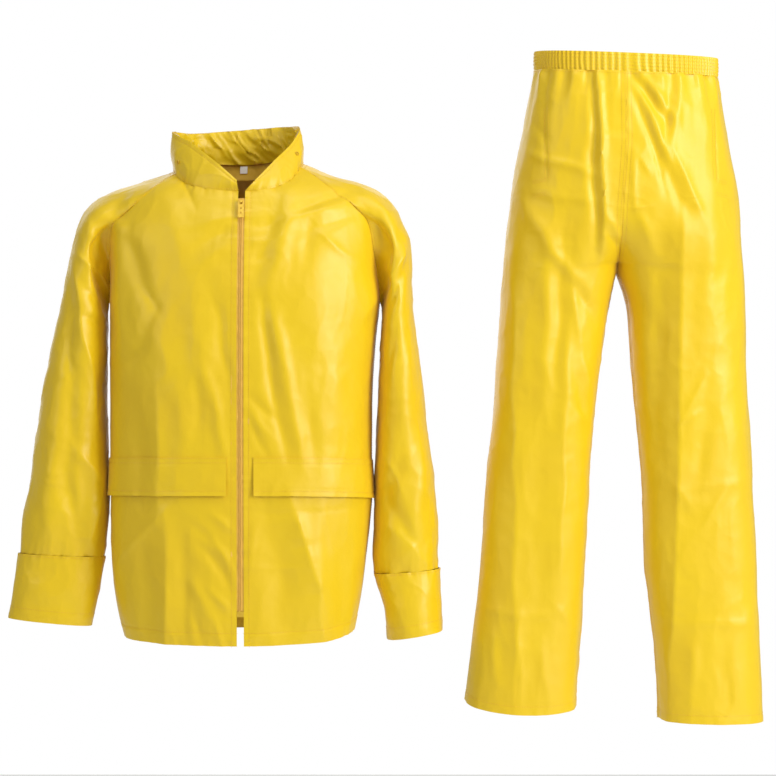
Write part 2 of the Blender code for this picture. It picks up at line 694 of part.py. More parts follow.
def zip_profile():
    """Section of one zip tape with half the coil on it: (towards the middle, out of the cloth)."""
    coil = [
        (-COIL_RADIUS * math.sin(turn), COIL_RADIUS * (1 - math.cos(turn)))
        for turn in (math.pi * step / COIL_SEGMENTS for step in range(COIL_SEGMENTS + 1))
    ]
    middle = ZIP_HALF_BAND - SEAM_GAP / 2
    bump = [(middle + across, out) for across, out in coil if across < -0.01]
    back = -TAPE_THICK
    return (
        [(-TAPE_UNDER_FRONT, back), (middle, back), (middle, 2 * COIL_RADIUS)]
        + bump[::-1]
        + [(-TAPE_UNDER_FRONT, 0.0)]
    )


def make_zip_tape(name, front, side, finish, collection):
    """One side of the zip, sewn under the edge of its front."""
    profile = zip_profile()
    rows = []
    for row, normals in zip(front.rows, front.normals):
        if not ZIP_BOTTOM_Z <= row[0][2] <= ZIP_TOP_Z:
            continue
        edge = row[0] - normals[0] * (CLOTH + LAY_GAP)
        away = row[1] - row[0]
        away /= np.linalg.norm(away)
        out = np.array((0.0, -1.0, 0.0))
        points = []
        for across, rise in profile:
            if across < 0:
                points.append(edge - away * across - normals[0] * -rise)
            else:
                points.append(edge + np.array((-side * across, 0, 0)) + out * rise)
        rows.append(np.array(points))
    mesh = bpy.data.meshes.new(name)
    work = bmesh.new()
    rings = [[work.verts.new(p * MM) for p in row] for row in rows]
    count = len(profile)
    for low, high in zip(rings, rings[1:]):
        for c in range(count):
            d = (c + 1) % count
            work.faces.new((low[c], low[d], high[d], high[c]))
    work.faces.new(rings[0][::-1])
    work.faces.new(rings[-1])
    bmesh.ops.recalc_face_normals(work, faces=work.faces)
    bmesh.ops.triangulate(work, faces=[f for f in work.faces if len(f.verts) > 4])
    work.to_mesh(mesh)
    work.free()
    return add_object(name, mesh, finish, collection)


def make_hood(collar, finish, collection):
    """The hood, rolled up inside the back of the collar: hidden layers as one soft roll."""
    outer, inner = [], []
    last = len(collar.rows) - 1
    for r in range(HOOD_FIRST_ROW, last + 1):
        up = (r - HOOD_FIRST_ROW) / (last - HOOD_FIRST_ROW)
        row = collar.rows[r][HOOD_ENDS:-HOOD_ENDS]
        normals = collar.own[r][HOOD_ENDS:-HOOD_ENDS]
        along = np.linspace(0, 1, len(row))
        fullness = math.sin(math.pi * (1 - up) * HOOD_FOOT)
        roll = HOOD_TOP_THICK + (HOOD_THICK - HOOD_TOP_THICK) * fullness
        slant = HOOD_CREASE_SLANT * up
        crease = 1 + HOOD_CREASE_DEPTH * np.sin(2 * math.pi * HOOD_CREASES * along + slant)
        ends = np.sin(math.pi * (HOOD_END_SHARE + (1 - 2 * HOOD_END_SHARE) * along))
        thick = roll * crease * ends**HOOD_END_CURVE
        outside = row - normals * (CLOTH + LAY_GAP)
        outer.append(outside)
        inner.append(outside - normals * thick[:, None])
    panel = Panel("hood_roll", outer, collar.centre)
    return add_object(panel.name, wall_mesh(panel, outer, inner), finish, collection)


def frame_at(point, facing):
    """A matrix that puts a piece at a point with its own Z along a direction."""
    turn = Vector(facing).to_track_quat("Z", "Y").to_matrix().to_4x4()
    return Matrix.Translation(Vector(point) * MM) @ turn


def make_label(collar, finish, collection):
    """The blank label inside the back of the neck."""
    column = len(collar.rows[0]) // 2
    normal = collar.own[LABEL_ROW][column]
    offset = CLOTH + 2 * LAY_GAP + LABEL_THICK / 2
    mesh = bpy.data.meshes.new("neck_label")
    work = bmesh.new()
    bmesh.ops.create_cube(work, size=1.0)
    size = Vector((LABEL_SIZE, LABEL_SIZE, LABEL_THICK)) * MM
    bmesh.ops.scale(work, vec=size, verts=work.verts)
    work.to_mesh(mesh)
    work.free()
    label = add_object("neck_label", mesh, finish, collection)
    label.matrix_world = frame_at(collar.rows[LABEL_ROW][column] - normal * offset, normal)


def make_eyelet(name, place, collar, finish, collection):
    """A small vent eyelet on the side of the collar."""
    points = np.concatenate(collar.rows)
    normals = np.concatenate(collar.own)
    nearness = np.hypot(points[:, 0] - place[0], points[:, 2] - place[1]) + points[:, 1] * EYELET_DEPTH_WEIGHT
    nearest = int(np.argmin(nearness))
    bpy.ops.mesh.primitive_torus_add(
        major_radius=EYELET_RING * MM,
        minor_radius=EYELET_WIRE * MM,
        major_segments=EYELET_SEGMENTS[0],
        minor_segments=EYELET_SEGMENTS[1],
    )
    eyelet = bpy.context.object
    eyelet.name = name
    for owner in list(eyelet.users_collection):
        owner.objects.unlink(eyelet)
    collection.objects.link(eyelet)
    eyelet.data.materials.append(finish)
    lift = EYELET_WIRE + LAY_GAP
    eyelet.matrix_world = frame_at(points[nearest] + normals[nearest] * lift, normals[nearest])


def block(name, size, middle):
    """A box by its size and its middle, in millimetres."""
    mesh = bpy.data.meshes.new(name)
    work = bmesh.new()
    bmesh.ops.create_cube(work, size=1.0)
    bmesh.ops.scale(work, vec=Vector(size) * MM, verts=work.verts)
    bmesh.ops.translate(work, vec=Vector(middle) * MM, verts=work.verts)
    work.to_mesh(mesh)
    work.free()
    return mesh


def pin(name, radius, length, middle, axis):
    """A round bar along X or Y by its radius, length and middle, in millimetres."""
    mesh = bpy.data.meshes.new(name)
    work = bmesh.new()
    bmesh.ops.create_cone(
        work,
        cap_ends=True,
        segments=PIN_SEGMENTS,
        radius1=radius * MM,
        radius2=radius * MM,
        depth=length * MM,
    )
    bmesh.ops.rotate(work, matrix=Matrix.Rotation(math.pi / 2, 3, axis), verts=work.verts)
    bmesh.ops.translate(work, vec=Vector(middle) * MM, verts=work.verts)
    work.to_mesh(mesh)
    work.free()
    return mesh


def shape_with(piece, mesh, operation, cutters):
    """Join a helper shape to a piece, or cut it away."""
    helper = bpy.data.objects.new(mesh.name, mesh)
    helper.hide_render = True
    helper.display_type = "WIRE"
    helper.parent = piece.parent
    cutters.objects.link(helper)
    step = piece.modifiers.new(mesh.name, "BOOLEAN")
    step.object = helper
    step.operation = operation
    return step


def make_zip_hardware(front, finish, collection, cutters):
    """The zip's slider with its bail, the pull tab that swings in it, and the lower box."""
    heights = [row[0][2] for row in front.rows]
    depths = [row[0][1] for row in front.rows]
    pivot_z = SLIDER_TOP_Z - BAIL_BELOW_TOP
    low_z = pivot_z - PULL_LENGTH
    line_y, low_y = np.interp((pivot_z, low_z), heights, depths)
    lean = math.atan2(low_y - line_y, PULL_LENGTH)
    coil_front = CLOTH - 2 * COIL_RADIUS
    pivot_y = line_y + coil_front - (SLIDER_SIZE[1] + PIVOT_OUT + LAY_GAP) / math.cos(lean)

    seat = bpy.data.objects.new("pull_tab_pivot", None)
    seat.location = Vector((FRONT_MIDDLE_X, pivot_y, pivot_z)) * MM
    seat.rotation_euler = (lean, 0, 0)
    collection.objects.link(seat)

    middle = (0, PIVOT_OUT + SLIDER_SIZE[1] / 2, BAIL_BELOW_TOP - SLIDER_SIZE[2] / 2)
    slider = add_object("zip_slider", block("zip_slider", SLIDER_SIZE, middle), finish, collection)
    slider.parent = seat
    bevel = slider.modifiers.new("edges", "BEVEL")
    bevel.width = BEVEL * MM
    bevel.segments = 2
    bail_y = PIVOT_OUT + BEVEL / 2 - BAIL_SIZE[1] / 2
    shape_with(slider, block("bail", BAIL_SIZE, (0, bail_y, 0)), "UNION", cutters)
    hole = pin("bail_hole", BAIL_HOLE_RADIUS, 2 * BAIL_SIZE[0], (0, 0, 0), "Y")
    shape_with(slider, hole, "DIFFERENCE", cutters)

    length = PULL_LENGTH + PULL_BAR
    plate = block("pull_tab", (PULL_WIDTH, PULL_THICK, length), (0, 0, PULL_BAR - length / 2))
    tab = add_object("pull_tab", plate, finish, collection)
    tab.parent = seat
    eye_width, eye_reach = PULL_EYE
    eye_size = (eye_width, 3 * PULL_THICK, eye_reach - PULL_BAR)
    eye = block("tab_eye", eye_size, (0, 0, -(eye_reach + PULL_BAR) / 2))
    shape_with(tab, eye, "DIFFERENCE", cutters)
    for number, distance in enumerate(PULL_HOLES):
        cut = pin(f"tab_hole_{number}", PULL_HOLE_RADIUS, 3 * PULL_THICK, (0, 0, -distance), "X")
        shape_with(tab, cut, "DIFFERENCE", cutters)

    foot_z = min(z for z in heights if z >= ZIP_BOTTOM_Z) - SEAM_GAP - BOX_SIZE[2] / 2
    foot_y = np.interp(foot_z, heights, depths) + CLOTH + LAY_GAP + TAPE_THICK - BOX_SIZE[1] / 2
    foot = block("zip_box", BOX_SIZE, (FRONT_MIDDLE_X, foot_y, foot_z))
    add_object("zip_box", foot, finish, collection)


def main():
    for piece in list(bpy.data.objects):
        bpy.data.objects.remove(piece)
    suit = bpy.data.collections.new("rain_suit")
    cutters = bpy.data.collections.new("cutters")
    for collection in (suit, cutters):
        bpy.context.scene.collection.children.link(collection)

    yellow = material("coated_nylon", YELLOW, 0.35, sheen=0.2)
    deep = material("coated_nylon_inside", YELLOW_DEEP, 0.45)
    tape = material("zip_tape", ZIP_YELLOW, 0.6)
    white = material("woven_label", WHITE, 0.8)
    metal = material("lacquered_zinc", METAL, 0.3, metallic=0.9)

    body_centre = (0.0, 0.0, -400.0)
    right_front = Panel("jacket_front_right", front_panel(-1), body_centre, calm=ZIP_CALM)
    left_front = Panel("jacket_front_left", front_panel(1), body_centre, calm=ZIP_CALM)
    back = Panel("jacket_back", back_panel(), body_centre)
    armpit = rows_before(BODY, ARMPIT_ROW)

    sleeves = []
    neck_points = []
    for side, front, table, column in (
        (-1, right_front, RIGHT_SLEEVE, 0),
        (1, left_front, LEFT_SLEEVE, -1),
    ):
        front_seam = [row[-1] for row in front.rows[armpit:]]
        back_seam = [row[column] for row in back.rows[armpit:]]
        over = neck_side(front_seam[-1].copy(), back_seam[-1].copy(), NECK_SIDE_X[0 if side < 0 else 1])
        seam = np.array(front_seam + over + back_seam[:0:-1])
        name = "sleeve_right" if side < 0 else "sleeve_left"
        rows = sleeve_panel(table, seam)
        panel = Panel(name, rows, np.mean(np.concatenate(rows), axis=0), closed=True)
        sleeves.append(panel)
        neck_points.append(over)

    base = (
        list(right_front.rows[-1])
        + neck_points[0]
        + list(back.rows[-1])
        + neck_points[1][::-1]
        + list(left_front.rows[-1][::-1])
    )
    collar_base = np.array(base)
    collar = Panel("collar", collar_panel(collar_base), (0, 0, 30))

    jacket = [right_front, left_front, back, *sleeves, collar]
    share_normals(jacket)
    press_folds(jacket)
    share_normals(jacket)
    for panel in jacket:
        make_wall(panel, yellow, suit)
    for name, table in (("cuff_right", RIGHT_CUFF), ("cuff_left", LEFT_CUFF)):
        rows = [ring(row, CUFF_COLUMNS) for row in fill_in(table)]
        cuff = Panel(name, rows, np.mean(np.concatenate(rows), axis=0), closed=True)
        cuff.find_own_normals()
        make_wall(cuff, yellow, suit)
    make_flap("pocket_flap_right", right_front, yellow, suit)
    make_flap("pocket_flap_left", left_front, yellow, suit)
    make_zip_tape("zip_tape_right", right_front, -1, tape, suit)
    make_zip_tape("zip_tape_left", left_front, 1, tape, suit)

    make_hood(collar, deep, suit)
    make_label(collar, white, suit)
    for side, place in EYELETS.items():
        make_eyelet(f"collar_eyelet_{side}", place, collar, metal, suit)
    make_zip_hardware(right_front, metal, suit, cutters)

    legs = []
    for name, table, is_back in (
        ("trouser_front_right", RIGHT_LEG, False),
        ("trouser_back_right", RIGHT_LEG, True),
        ("trouser_front_left", LEFT_LEG, False),
        ("trouser_back_left", LEFT_LEG, True),
    ):
        rows = leg_panel(table, is_back)
        x = 500.0 if table is RIGHT_LEG else 740.0
        panel = Panel(name, rows, (x, 0.0, -400.0))
        panel.table = table
        legs.append(panel)
    share_normals(legs)
    for panel in legs:
        panel.rows = gather(panel.rows, panel.normals, panel.table)
    press_folds(legs)
    share_normals(legs)
    band = Panel("waistband", waistband_rows(), (BAND_CENTRE_X, 0, WAIST_Z), closed=True)
    band.find_own_normals()
    for panel in [*legs, band]:
        lay_in_waist_plane(panel)
    for panel in legs:
        make_wall(panel, yellow, suit)
    make_wall(band, yellow, suit)


main()
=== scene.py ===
import math
from collections import namedtuple

import bmesh
import bpy
import numpy as np
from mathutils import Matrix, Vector, noise


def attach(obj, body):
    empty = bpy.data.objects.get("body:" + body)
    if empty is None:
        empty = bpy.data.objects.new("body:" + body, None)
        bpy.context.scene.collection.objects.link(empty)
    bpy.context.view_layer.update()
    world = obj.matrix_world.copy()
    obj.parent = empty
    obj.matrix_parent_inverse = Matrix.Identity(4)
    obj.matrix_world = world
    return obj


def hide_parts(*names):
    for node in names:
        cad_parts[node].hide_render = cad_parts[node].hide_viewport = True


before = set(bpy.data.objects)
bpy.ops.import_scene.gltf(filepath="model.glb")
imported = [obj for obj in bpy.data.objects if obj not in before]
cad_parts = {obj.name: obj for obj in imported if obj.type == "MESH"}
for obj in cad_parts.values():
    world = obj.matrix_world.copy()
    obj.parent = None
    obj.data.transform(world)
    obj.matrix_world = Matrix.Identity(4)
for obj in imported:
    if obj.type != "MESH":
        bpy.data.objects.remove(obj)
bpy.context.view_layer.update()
print("frame loaded")

mm = 0.001
fine = 1    # share of the full mesh density
boxy = 0.8
clothThick = 0.8

# Jacket rows from the hem up, in millimetres, as the solids have them.
bodyRow = namedtuple(
    "bodyRow",
    "steps frontZ backZ rightZ leftZ rightX leftX front back frontTurn backTurn backShare backLift",
)
bodyRows = (
    bodyRow(3, -744, -738, -733, -722, -188, 186, 128, 118, 0, 0, 1, 0),
    bodyRow(3, -688, -688, -684, -676, -199, 195, 132, 121, 0, 0, 1, 0),
    bodyRow(3, -600, -600, -600, -598, -208, 205, 136, 123, 0, 0, 1, 0),
    bodyRow(2, -506, -508, -510, -516, -209, 212, 139, 124, 0, 0, 1, 0),
    bodyRow(3, -445, -447, -449, -453, -210, 212, 140, 125, 0, 0, 1, 0),
    bodyRow(2, -350, -350, -350, -350, -211, 214, 141, 126, 0, 0, 1, 0),
    bodyRow(2, -265, -265, -265, -265, -212, 219, 140, 127, 0, 0, 1, 0),
    bodyRow(1, -190, -190, -191, -190, -212.5, 226, 137, 127, 0, 0, 1, 0),
    bodyRow(1, -150, -148, -140, -145, -210.5, 221, 131, 126, 7, 8, 1, 0),
    bodyRow(1, -112, -110, -99, -108, -208, 215, 124, 123, 16, 18, 0.98, 2),
    bodyRow(1, -88, -82, -74, -68, -201, 207, 117, 118, 23, 24, 0.96, 4),
    bodyRow(1, -66, -56, -51, -46, -176, 188, 110, 111, 32, 34, 0.95, 6),
    bodyRow(1, -46, -33, -28, -26, -151, 160, 102, 101, 37, 41, 0.94, 9),
    bodyRow(1, -34, -12, -8, 0, -127, 129, 97, 90, 30, 39, 0.92, 12),
    bodyRow(1, -22, 9, 10, 22, -104, 98, 92, 75, 17, 35, 0.9, 14),
)
armpitRow = 7

# Sleeve rings by their underarm point and their top point.
sleeveRing = namedtuple("sleeveRing", "steps inX inZ outX outZ midY depth round")
rightSleeveRings = (
    sleeveRing(1, -214.5, -194, -165, 1, 0, 67, 0.12),
    sleeveRing(1, -216, -199, -222, -21, 0, 68, 0.4),
    sleeveRing(1, -217, -207, -249, -41, 1, 70, 0.7),
    sleeveRing(1, -218, -217, -263, -66, 2, 72, 0.9),
    sleeveRing(1, -218, -236, -276, -119, 3, 74, 1),
    sleeveRing(1, -218, -268, -289, -192, 4, 76, 1),
    sleeveRing(2, -218, -318, -305, -262, 5, 77, 1),
    sleeveRing(2, -217, -400, -322, -350, 5, 75, 1),
    sleeveRing(2, -216, -480, -338, -440, 2, 69, 1),
    sleeveRing(1, -215.5, -540, -350, -530, -2, 60, 1),
    sleeveRing(1, -219, -580, -355, -570, -4, 52, 1),
    sleeveRing(1, -223, -609, -357.5, -603, -6, 42, 1),
)
leftSleeveRings = (
    sleeveRing(1, 228, -193, 160, 7, 0, 67, 0.12),
    sleeveRing(1, 229.5, -198, 218, -13, 0, 68, 0.4),
    sleeveRing(1, 231, -206, 251, -42, 1, 70, 0.7),
    sleeveRing(1, 231, -216, 265, -70, 2, 72, 0.9),
    sleeveRing(1, 230.5, -236, 275, -100, 3, 76, 1),
    sleeveRing(1, 229, -268, 278, -160, 4, 80, 1),
    sleeveRing(2, 226, -318, 283, -236, 5, 82, 1),
    sleeveRing(2, 221.5, -400, 295, -330, 5, 80, 1),
    sleeveRing(2, 218, -480, 308, -425, 2, 76, 1),
    sleeveRing(1, 216.5, -560, 318, -530, -2, 70, 1),
    sleeveRing(1, 215.5, -605, 321.5, -590, -4, 62, 1),
    sleeveRing(1, 219, -636, 322.5, -628, -6, 52, 1),
)
cuffRing = namedtuple("cuffRing", "steps inX inZ outX outZ midY depth")
rightCuffRings = (
    cuffRing(2, -221, -609.6, -361, -603.6, -6, 44),
    cuffRing(1, -229, -664, -368.5, -654, -7, 43),
    cuffRing(1, -242, -722, -376, -709, -8, 38),
)
leftCuffRings = (
    cuffRing(2, 217, -636.6, 325, -628.6, -6, 54),
    cuffRing(1, 233, -688, 326, -680, -7, 56),
    cuffRing(1, 240, -744, 328, -729, -8, 56),
)

# Top edge of the collar, from the right side of the zip round the back to the left side.
collarPoint = namedtuple("collarPoint", "place x y z")
collarTop = (
    collarPoint(0.0, -1, -94, -5),
    collarPoint(0.08, -36, -78, 26),
    collarPoint(0.16, -77, -46, 59),
    collarPoint(0.25, -111, -6, 80),
    collarPoint(0.36, -84, 48, 84),
    collarPoint(0.5, -4, 76, 92),
    collarPoint(0.64, 72, 50, 95),
    collarPoint(0.76, 96, 2, 87),
    collarPoint(0.84, 84, -30, 60),
    collarPoint(0.92, 58, -66, 29),
    collarPoint(1.0, 29, -92, -4),
)

# Leg rows from the waist down.
legRow = namedtuple("legRow", "steps outZ inZ outX inX backInX front back turn sag gather")
rightLegRows = (
    legRow(1, 182, 168, 479, 619, 627, 95, 95, 90, 0, 2.4),
    legRow(1, 150, 142, 473, 619, 627, 100, 100, 90, 0, 3.4),
    legRow(1, 110, 106, 465, 619, 627, 105, 106, 90, 0, 1.8),
    legRow(2, 54, 52, 453, 619, 625, 110, 114, 90, 0, 0),
    legRow(2, -10, -6, 442, 615, 620, 112, 120, 90, 0, 0),
    legRow(1, -60, -50, 436, 612, 616, 110, 122, 95, 0, 0),
    legRow(1, -90, -84, 433, 611.5, 614, 106, 120, 115, 0, 0),
    legRow(1, -120, -112, 430, 611.5, 613, 100, 115, 137, 0, 0),
    legRow(1, -148, -130, 428, 612, 612.5, 95, 110, 158, 0, 0),
    legRow(1, -185, -139, 425, 612, 612, 90, 106, 180, 0, 0),
    legRow(1, -240, -196, 422, 600.5, 600.5, 84, 98, 180, 0, 0),
    legRow(2, -300, -275, 417.7, 588, 588, 80, 90, 180, 0, 0),
    legRow(2, -380, -370, 412, 575, 575, 76, 80, 180, 0, 0),
    legRow(2, -484, -480, 401.6, 568.5, 568.5, 73, 75, 180, 0, 0),
    legRow(2, -616, -612, 390.5, 560.5, 560.5, 71, 72, 180, 2, 0),
    legRow(2, -740, -738, 378.5, 552.5, 552.5, 69, 69, 180, 6, 0),
    legRow(1, -842, -852, 366.5, 546, 546, 68, 68, 180, 14, 0),
)
leftLegRows = (
    legRow(1, 170, 168, 776, 619, 627, 95, 95, 90, 0, 2.4),
    legRow(1, 138, 142, 781.5, 619, 627, 100, 100, 90, 0, 3.4),
    legRow(1, 104, 106, 787, 619, 627, 105, 106, 90, 0, 1.8),
    legRow(2, 46, 52, 797, 619, 625, 110, 114, 90, 0, 0),
    legRow(2, -20, -6, 808, 615, 620, 112, 120, 90, 0, 0),
    legRow(1, -62, -50, 812, 612, 616, 110, 122, 95, 0, 0),
    legRow(1, -90, -84, 813.5, 611.5, 614, 106, 120, 115, 0, 0),
    legRow(1, -120, -112, 815, 611.5, 613, 100, 115, 137, 0, 0),
    legRow(1, -148, -130, 816.5, 612, 612.5, 95, 110, 158, 0, 0),
    legRow(1, -185, -139, 818, 612, 612, 90, 106, 180, 0, 0),
    legRow(1, -240, -196, 820, 629.5, 629.5, 84, 98, 180, 0, 0),
    legRow(2, -300, -275, 822, 636, 636, 80, 90, 180, 0, 0),
    legRow(2, -380, -370, 827.5, 644.5, 644.5, 76, 80, 180, 0, 0),
    legRow(2, -484, -480, 833, 651.5, 651.5, 73, 75, 180, 0, 0),
    legRow(2, -616, -612, 838.8, 659, 659, 71, 72, 180, 0, 0),
    legRow(2, -740, -738, 844, 671, 671, 69, 69, 180, 0, 0),
    legRow(1, -876, -872, 851, 681, 681, 68, 68, 180, 2, 0),
)


def fillIn(table, density):
    # rows between the table's rows, every column on a smooth curve
    kind = type(table[0])
    last = len(table) - 1
    filled = []
    for index in range(last):
        before = np.array(table[max(index - 1, 0)], float)
        start = np.array(table[index], float)
        end = np.array(table[index + 1], float)
        after = np.array(table[min(index + 2, last)], float)
        steps = max(1, round(table[index].steps * density))
        for step in range(steps):
            t = step / steps
            values = (
                start * (2 * t**3 - 3 * t**2 + 1)
                + (end - before) / 2 * (t**3 - 2 * t**2 + t)
                + end * (3 * t**2 - 2 * t**3)
                + (after - start) / 2 * (t**3 - t**2)
            )
            filled.append(kind(*values))
    filled.append(table[last])
    return filled


def power(value, exponent):
    return np.sign(value) * np.abs(value) ** exponent


def evenPlaces(points, shares):
    lengths = np.concatenate(([0.0], np.cumsum(np.linalg.norm(np.diff(points, axis=0), axis=1))))
    return np.array([np.interp(shares * lengths[-1], lengths, points[:, i]) for i in range(2)]).T


def section(inner, outer, depth, turnIn, turnOut, shares, ease):
    # one row of a panel: an arc from its inner point to its outer point, seen from above
    turns = np.radians(np.linspace(turnIn, turnOut, 160))
    across = power(np.cos(turns), boxy)
    deep = power(np.sin(turns), boxy)
    half = (outer[0] - inner[0]) / (across[-1] - across[0])
    x = outer[0] + half * (across - across[-1])
    arc = evenPlaces(np.column_stack((x, depth * deep)), shares)
    z = inner[1] + (outer[1] - inner[1]) * shares**ease
    return np.column_stack((arc, z))


jacket = {
    "frontMiddleX": 7.0,
    "zipHalfBand": 5.5,
    "frontColumns": 72,
    "backColumns": 60,      # in each half
    "rowDensity": 8,
    "seamDensity": 8,       # rows above the armpit, which are also the sleeve's columns
    "neckSteps": 24,
    "hemEase": 2.2,
}


def frontRows(side):
    rows = []
    shares = np.linspace(0, 1, round(jacket["frontColumns"] * fine) + 1)
    for row in fillIn(bodyRows, jacket["rowDensity"] * fine):
        edge = (row.rightX, row.rightZ) if side < 0 else (row.leftX, row.leftZ)
        start = (jacket["frontMiddleX"] + side * jacket["zipHalfBand"], row.frontZ)
        turn = max(row.frontTurn, 0.0)
        rows.append(section(start, edge, -row.front, 90, turn, shares, jacket["hemEase"]))
    return np.array(rows)


def backRows():
    rows = []
    shares = np.linspace(0, 1, round(jacket["backColumns"] * fine) + 1)
    for row in fillIn(bodyRows, jacket["rowDensity"] * fine):
        turn = max(row.backTurn, 0.0)
        middle = (0.0, row.backZ)
        right = (row.rightX * row.backShare, row.rightZ + row.backLift)
        left = (row.leftX * row.backShare, row.leftZ + row.backLift)
        rightHalf = section(middle, right, row.back, 90, turn, shares, jacket["hemEase"])
        leftHalf = section(middle, left, row.back, 90, turn, shares, jacket["hemEase"])
        rows.append(np.concatenate((rightHalf[::-1], leftHalf[1:])))
    return np.array(rows)


def neckSide(frontPoint, backPoint, sideX):
    steps = round(jacket["neckSteps"] * fine)
    shares = np.arange(1, steps)[:, None] / steps
    points = frontPoint * (1 - shares) + backPoint * shares
    points[:, 0] += (sideX - points[:, 0]) * np.sin(math.pi * shares[:, 0])
    return points


def ringPoints(row, around, boxyRing=0.9):
    turns = 2 * math.pi * np.arange(around) / around
    share = (1 - power(np.cos(turns), boxyRing)) / 2
    x = row.inX + (row.outX - row.inX) * share
    z = row.inZ + (row.outZ - row.inZ) * share
    y = row.midY - row.depth * power(np.sin(turns), boxyRing)
    return np.column_stack((x, y, z))


def sleeveRows(table, seam, density):
    around = len(seam)
    chord = seam[around // 2] - seam[0]
    share = (seam - seam[0]) @ chord / (chord @ chord)
    offChord = seam - seam[0] - np.outer(share, chord)
    deepest = np.abs(seam[:, 1]).max()
    start = sleeveRing(1, seam[0][0], seam[0][2], *seam[around // 2][[0, 2]], 0, deepest, 0.0)
    rows = []
    for index, row in enumerate(fillIn((start,) + table, density)):
        low = np.array((row.inX, row.midY, row.inZ))
        high = np.array((row.outX, row.midY, row.outZ))
        likeSeam = low + np.outer(share, high - low)
        likeSeam[:, 0] += offChord[:, 0]
        likeSeam[:, 2] += offChord[:, 2]
        likeSeam[:, 1] = row.midY + seam[:, 1] * row.depth / deepest
        blend = min(max(row.round, 0.0), 1.0)
        rows.append(seam if index == 0 else likeSeam * (1 - blend) + ringPoints(row, around) * blend)
    return np.array(rows)


def smoothLoop(points, places, wanted):
    slopes = np.gradient(points, places, axis=0)
    index = np.clip(np.searchsorted(places, wanted, side="right") - 1, 0, len(places) - 2)
    span = (places[index + 1] - places[index])[:, None]
    t = (wanted - places[index])[:, None] / span
    return (
        points[index] * (2 * t**3 - 3 * t**2 + 1)
        + slopes[index] * span * (t**3 - 2 * t**2 + t)
        + points[index + 1] * (3 * t**2 - 2 * t**3)
        + slopes[index + 1] * span * (t**3 - t**2)
    )


def collarRows(base, rowCount, bulge=4.0):
    lengths = np.linalg.norm(np.diff(base, axis=0), axis=1)
    wanted = np.concatenate(([0.0], np.cumsum(lengths))) / lengths.sum()
    top = smoothLoop(
        np.array([point[1:] for point in collarTop], float),
        np.array([point.place for point in collarTop]),
        wanted,
    )
    middle = base.mean(axis=0)
    rows = []
    for row in range(rowCount + 1):
        share = row / rowCount
        points = base * (1 - share) + top * share
        outwards = points - middle
        outwards[:, 2] = 0
        outwards /= np.linalg.norm(outwards, axis=1)[:, None]
        rows.append(points + outwards * bulge * math.sin(math.pi * share))
    return np.array(rows)


trousers = {
    "columns": 70,          # in each of the four panels
    "rowDensity": 10,
    "gathers": 6,           # gathers across a panel at the waist
    "bandHeight": 30.0,
    "bandGathers": 100,
    "bandGatherDepth": 1.0,
    "bandCentreX": 627.5,
    "bandHalfWidth": 148.5,
    "bandDepth": 95.0,
    "waistZ": 176.0,
    "waistTiltX": -0.0405,
    "waistTiltY": 0.083,
}


def waistHeight(x, y):
    lean = trousers["waistTiltX"] * (x - trousers["bandCentreX"]) + trousers["waistTiltY"] * y
    return trousers["waistZ"] + lean


def legRows(table, back):
    rows = []
    shares = np.linspace(0, 1, round(trousers["columns"] * fine) + 1)
    for index, row in enumerate(fillIn(table, trousers["rowDensity"] * fine)):
        inner = (row.backInX if back else row.inX, row.inZ)
        depth = row.back if back else -row.front
        turn = min(max(row.turn, 90.0), 180.0)
        points = section(inner, (row.outX, row.outZ), depth, turn, 0, shares, 1.0)
        points[:, 2] -= row.sag * np.sin(math.pi * shares)
        rows.append(points)
    return np.array(rows)


print("tables read")

def makePiece(name, rows, closed=False, centre=None):
    # a cloth piece is a grid of points: rows along it, columns across it
    rows = np.array(rows, float)
    middle = rows.mean(axis=(0, 1)) if centre is None else np.array(centre, float)
    piece = {"name": name, "rows": rows, "closed": closed, "centre": middle}
    findNormals(piece)
    piece["push"] = piece["normals"].copy()
    return piece


def findNormals(piece):
    rows = piece["rows"]
    along = np.gradient(rows, axis=0)
    if piece["closed"]:
        across = np.roll(rows, -1, axis=1) - np.roll(rows, 1, axis=1)
    else:
        across = np.gradient(rows, axis=1)
    normals = np.cross(across, along)
    normals /= np.maximum(np.linalg.norm(normals, axis=2, keepdims=True), 1e-9)
    if "flip" not in piece:
        piece["flip"] = bool(np.sum(normals * (rows - piece["centre"])) < 0)
    piece["normals"] = -normals if piece["flip"] else normals


def joinSeams(pieces):
    # pieces that meet at a seam move the same way there
    meeting = {}
    for piece in pieces:
        rowCount, columnCount = piece["rows"].shape[:2]
        border = {(r, c) for r in (0, rowCount - 1) for c in range(columnCount)}
        if not piece["closed"]:
            border |= {(r, c) for r in range(rowCount) for c in (0, columnCount - 1)}
        for r, c in border:
            key = tuple(np.round(piece["rows"][r, c], 1) + 0.0)
            meeting.setdefault(key, []).append((piece, r, c))
    for corners in meeting.values():
        mean = sum(piece["push"][r, c] for piece, r, c in corners)
        mean /= max(np.linalg.norm(mean), 1e-6)
        for piece, r, c in corners:
            piece["push"][r, c] = mean


lattice = np.random.default_rng(11).uniform(-1, 1, (48, 48, 48))


def softNoise(points, size, seed):
    # smooth random heights from -1 to 1, in clumps of that size
    grid = points / np.array(size, float) + np.array((3.7, 9.1, 5.3)) * seed
    base = np.floor(grid).astype(int)
    part = grid - base
    part = part * part * (3 - 2 * part)
    total = 0.0
    for corner in ((i, j, k) for i in (0, 1) for j in (0, 1) for k in (0, 1)):
        cell = (base + corner) % 48
        weight = np.prod(np.where(corner, part, 1 - part), axis=-1)
        total = total + lattice[cell[..., 0], cell[..., 1], cell[..., 2]] * weight
    return total


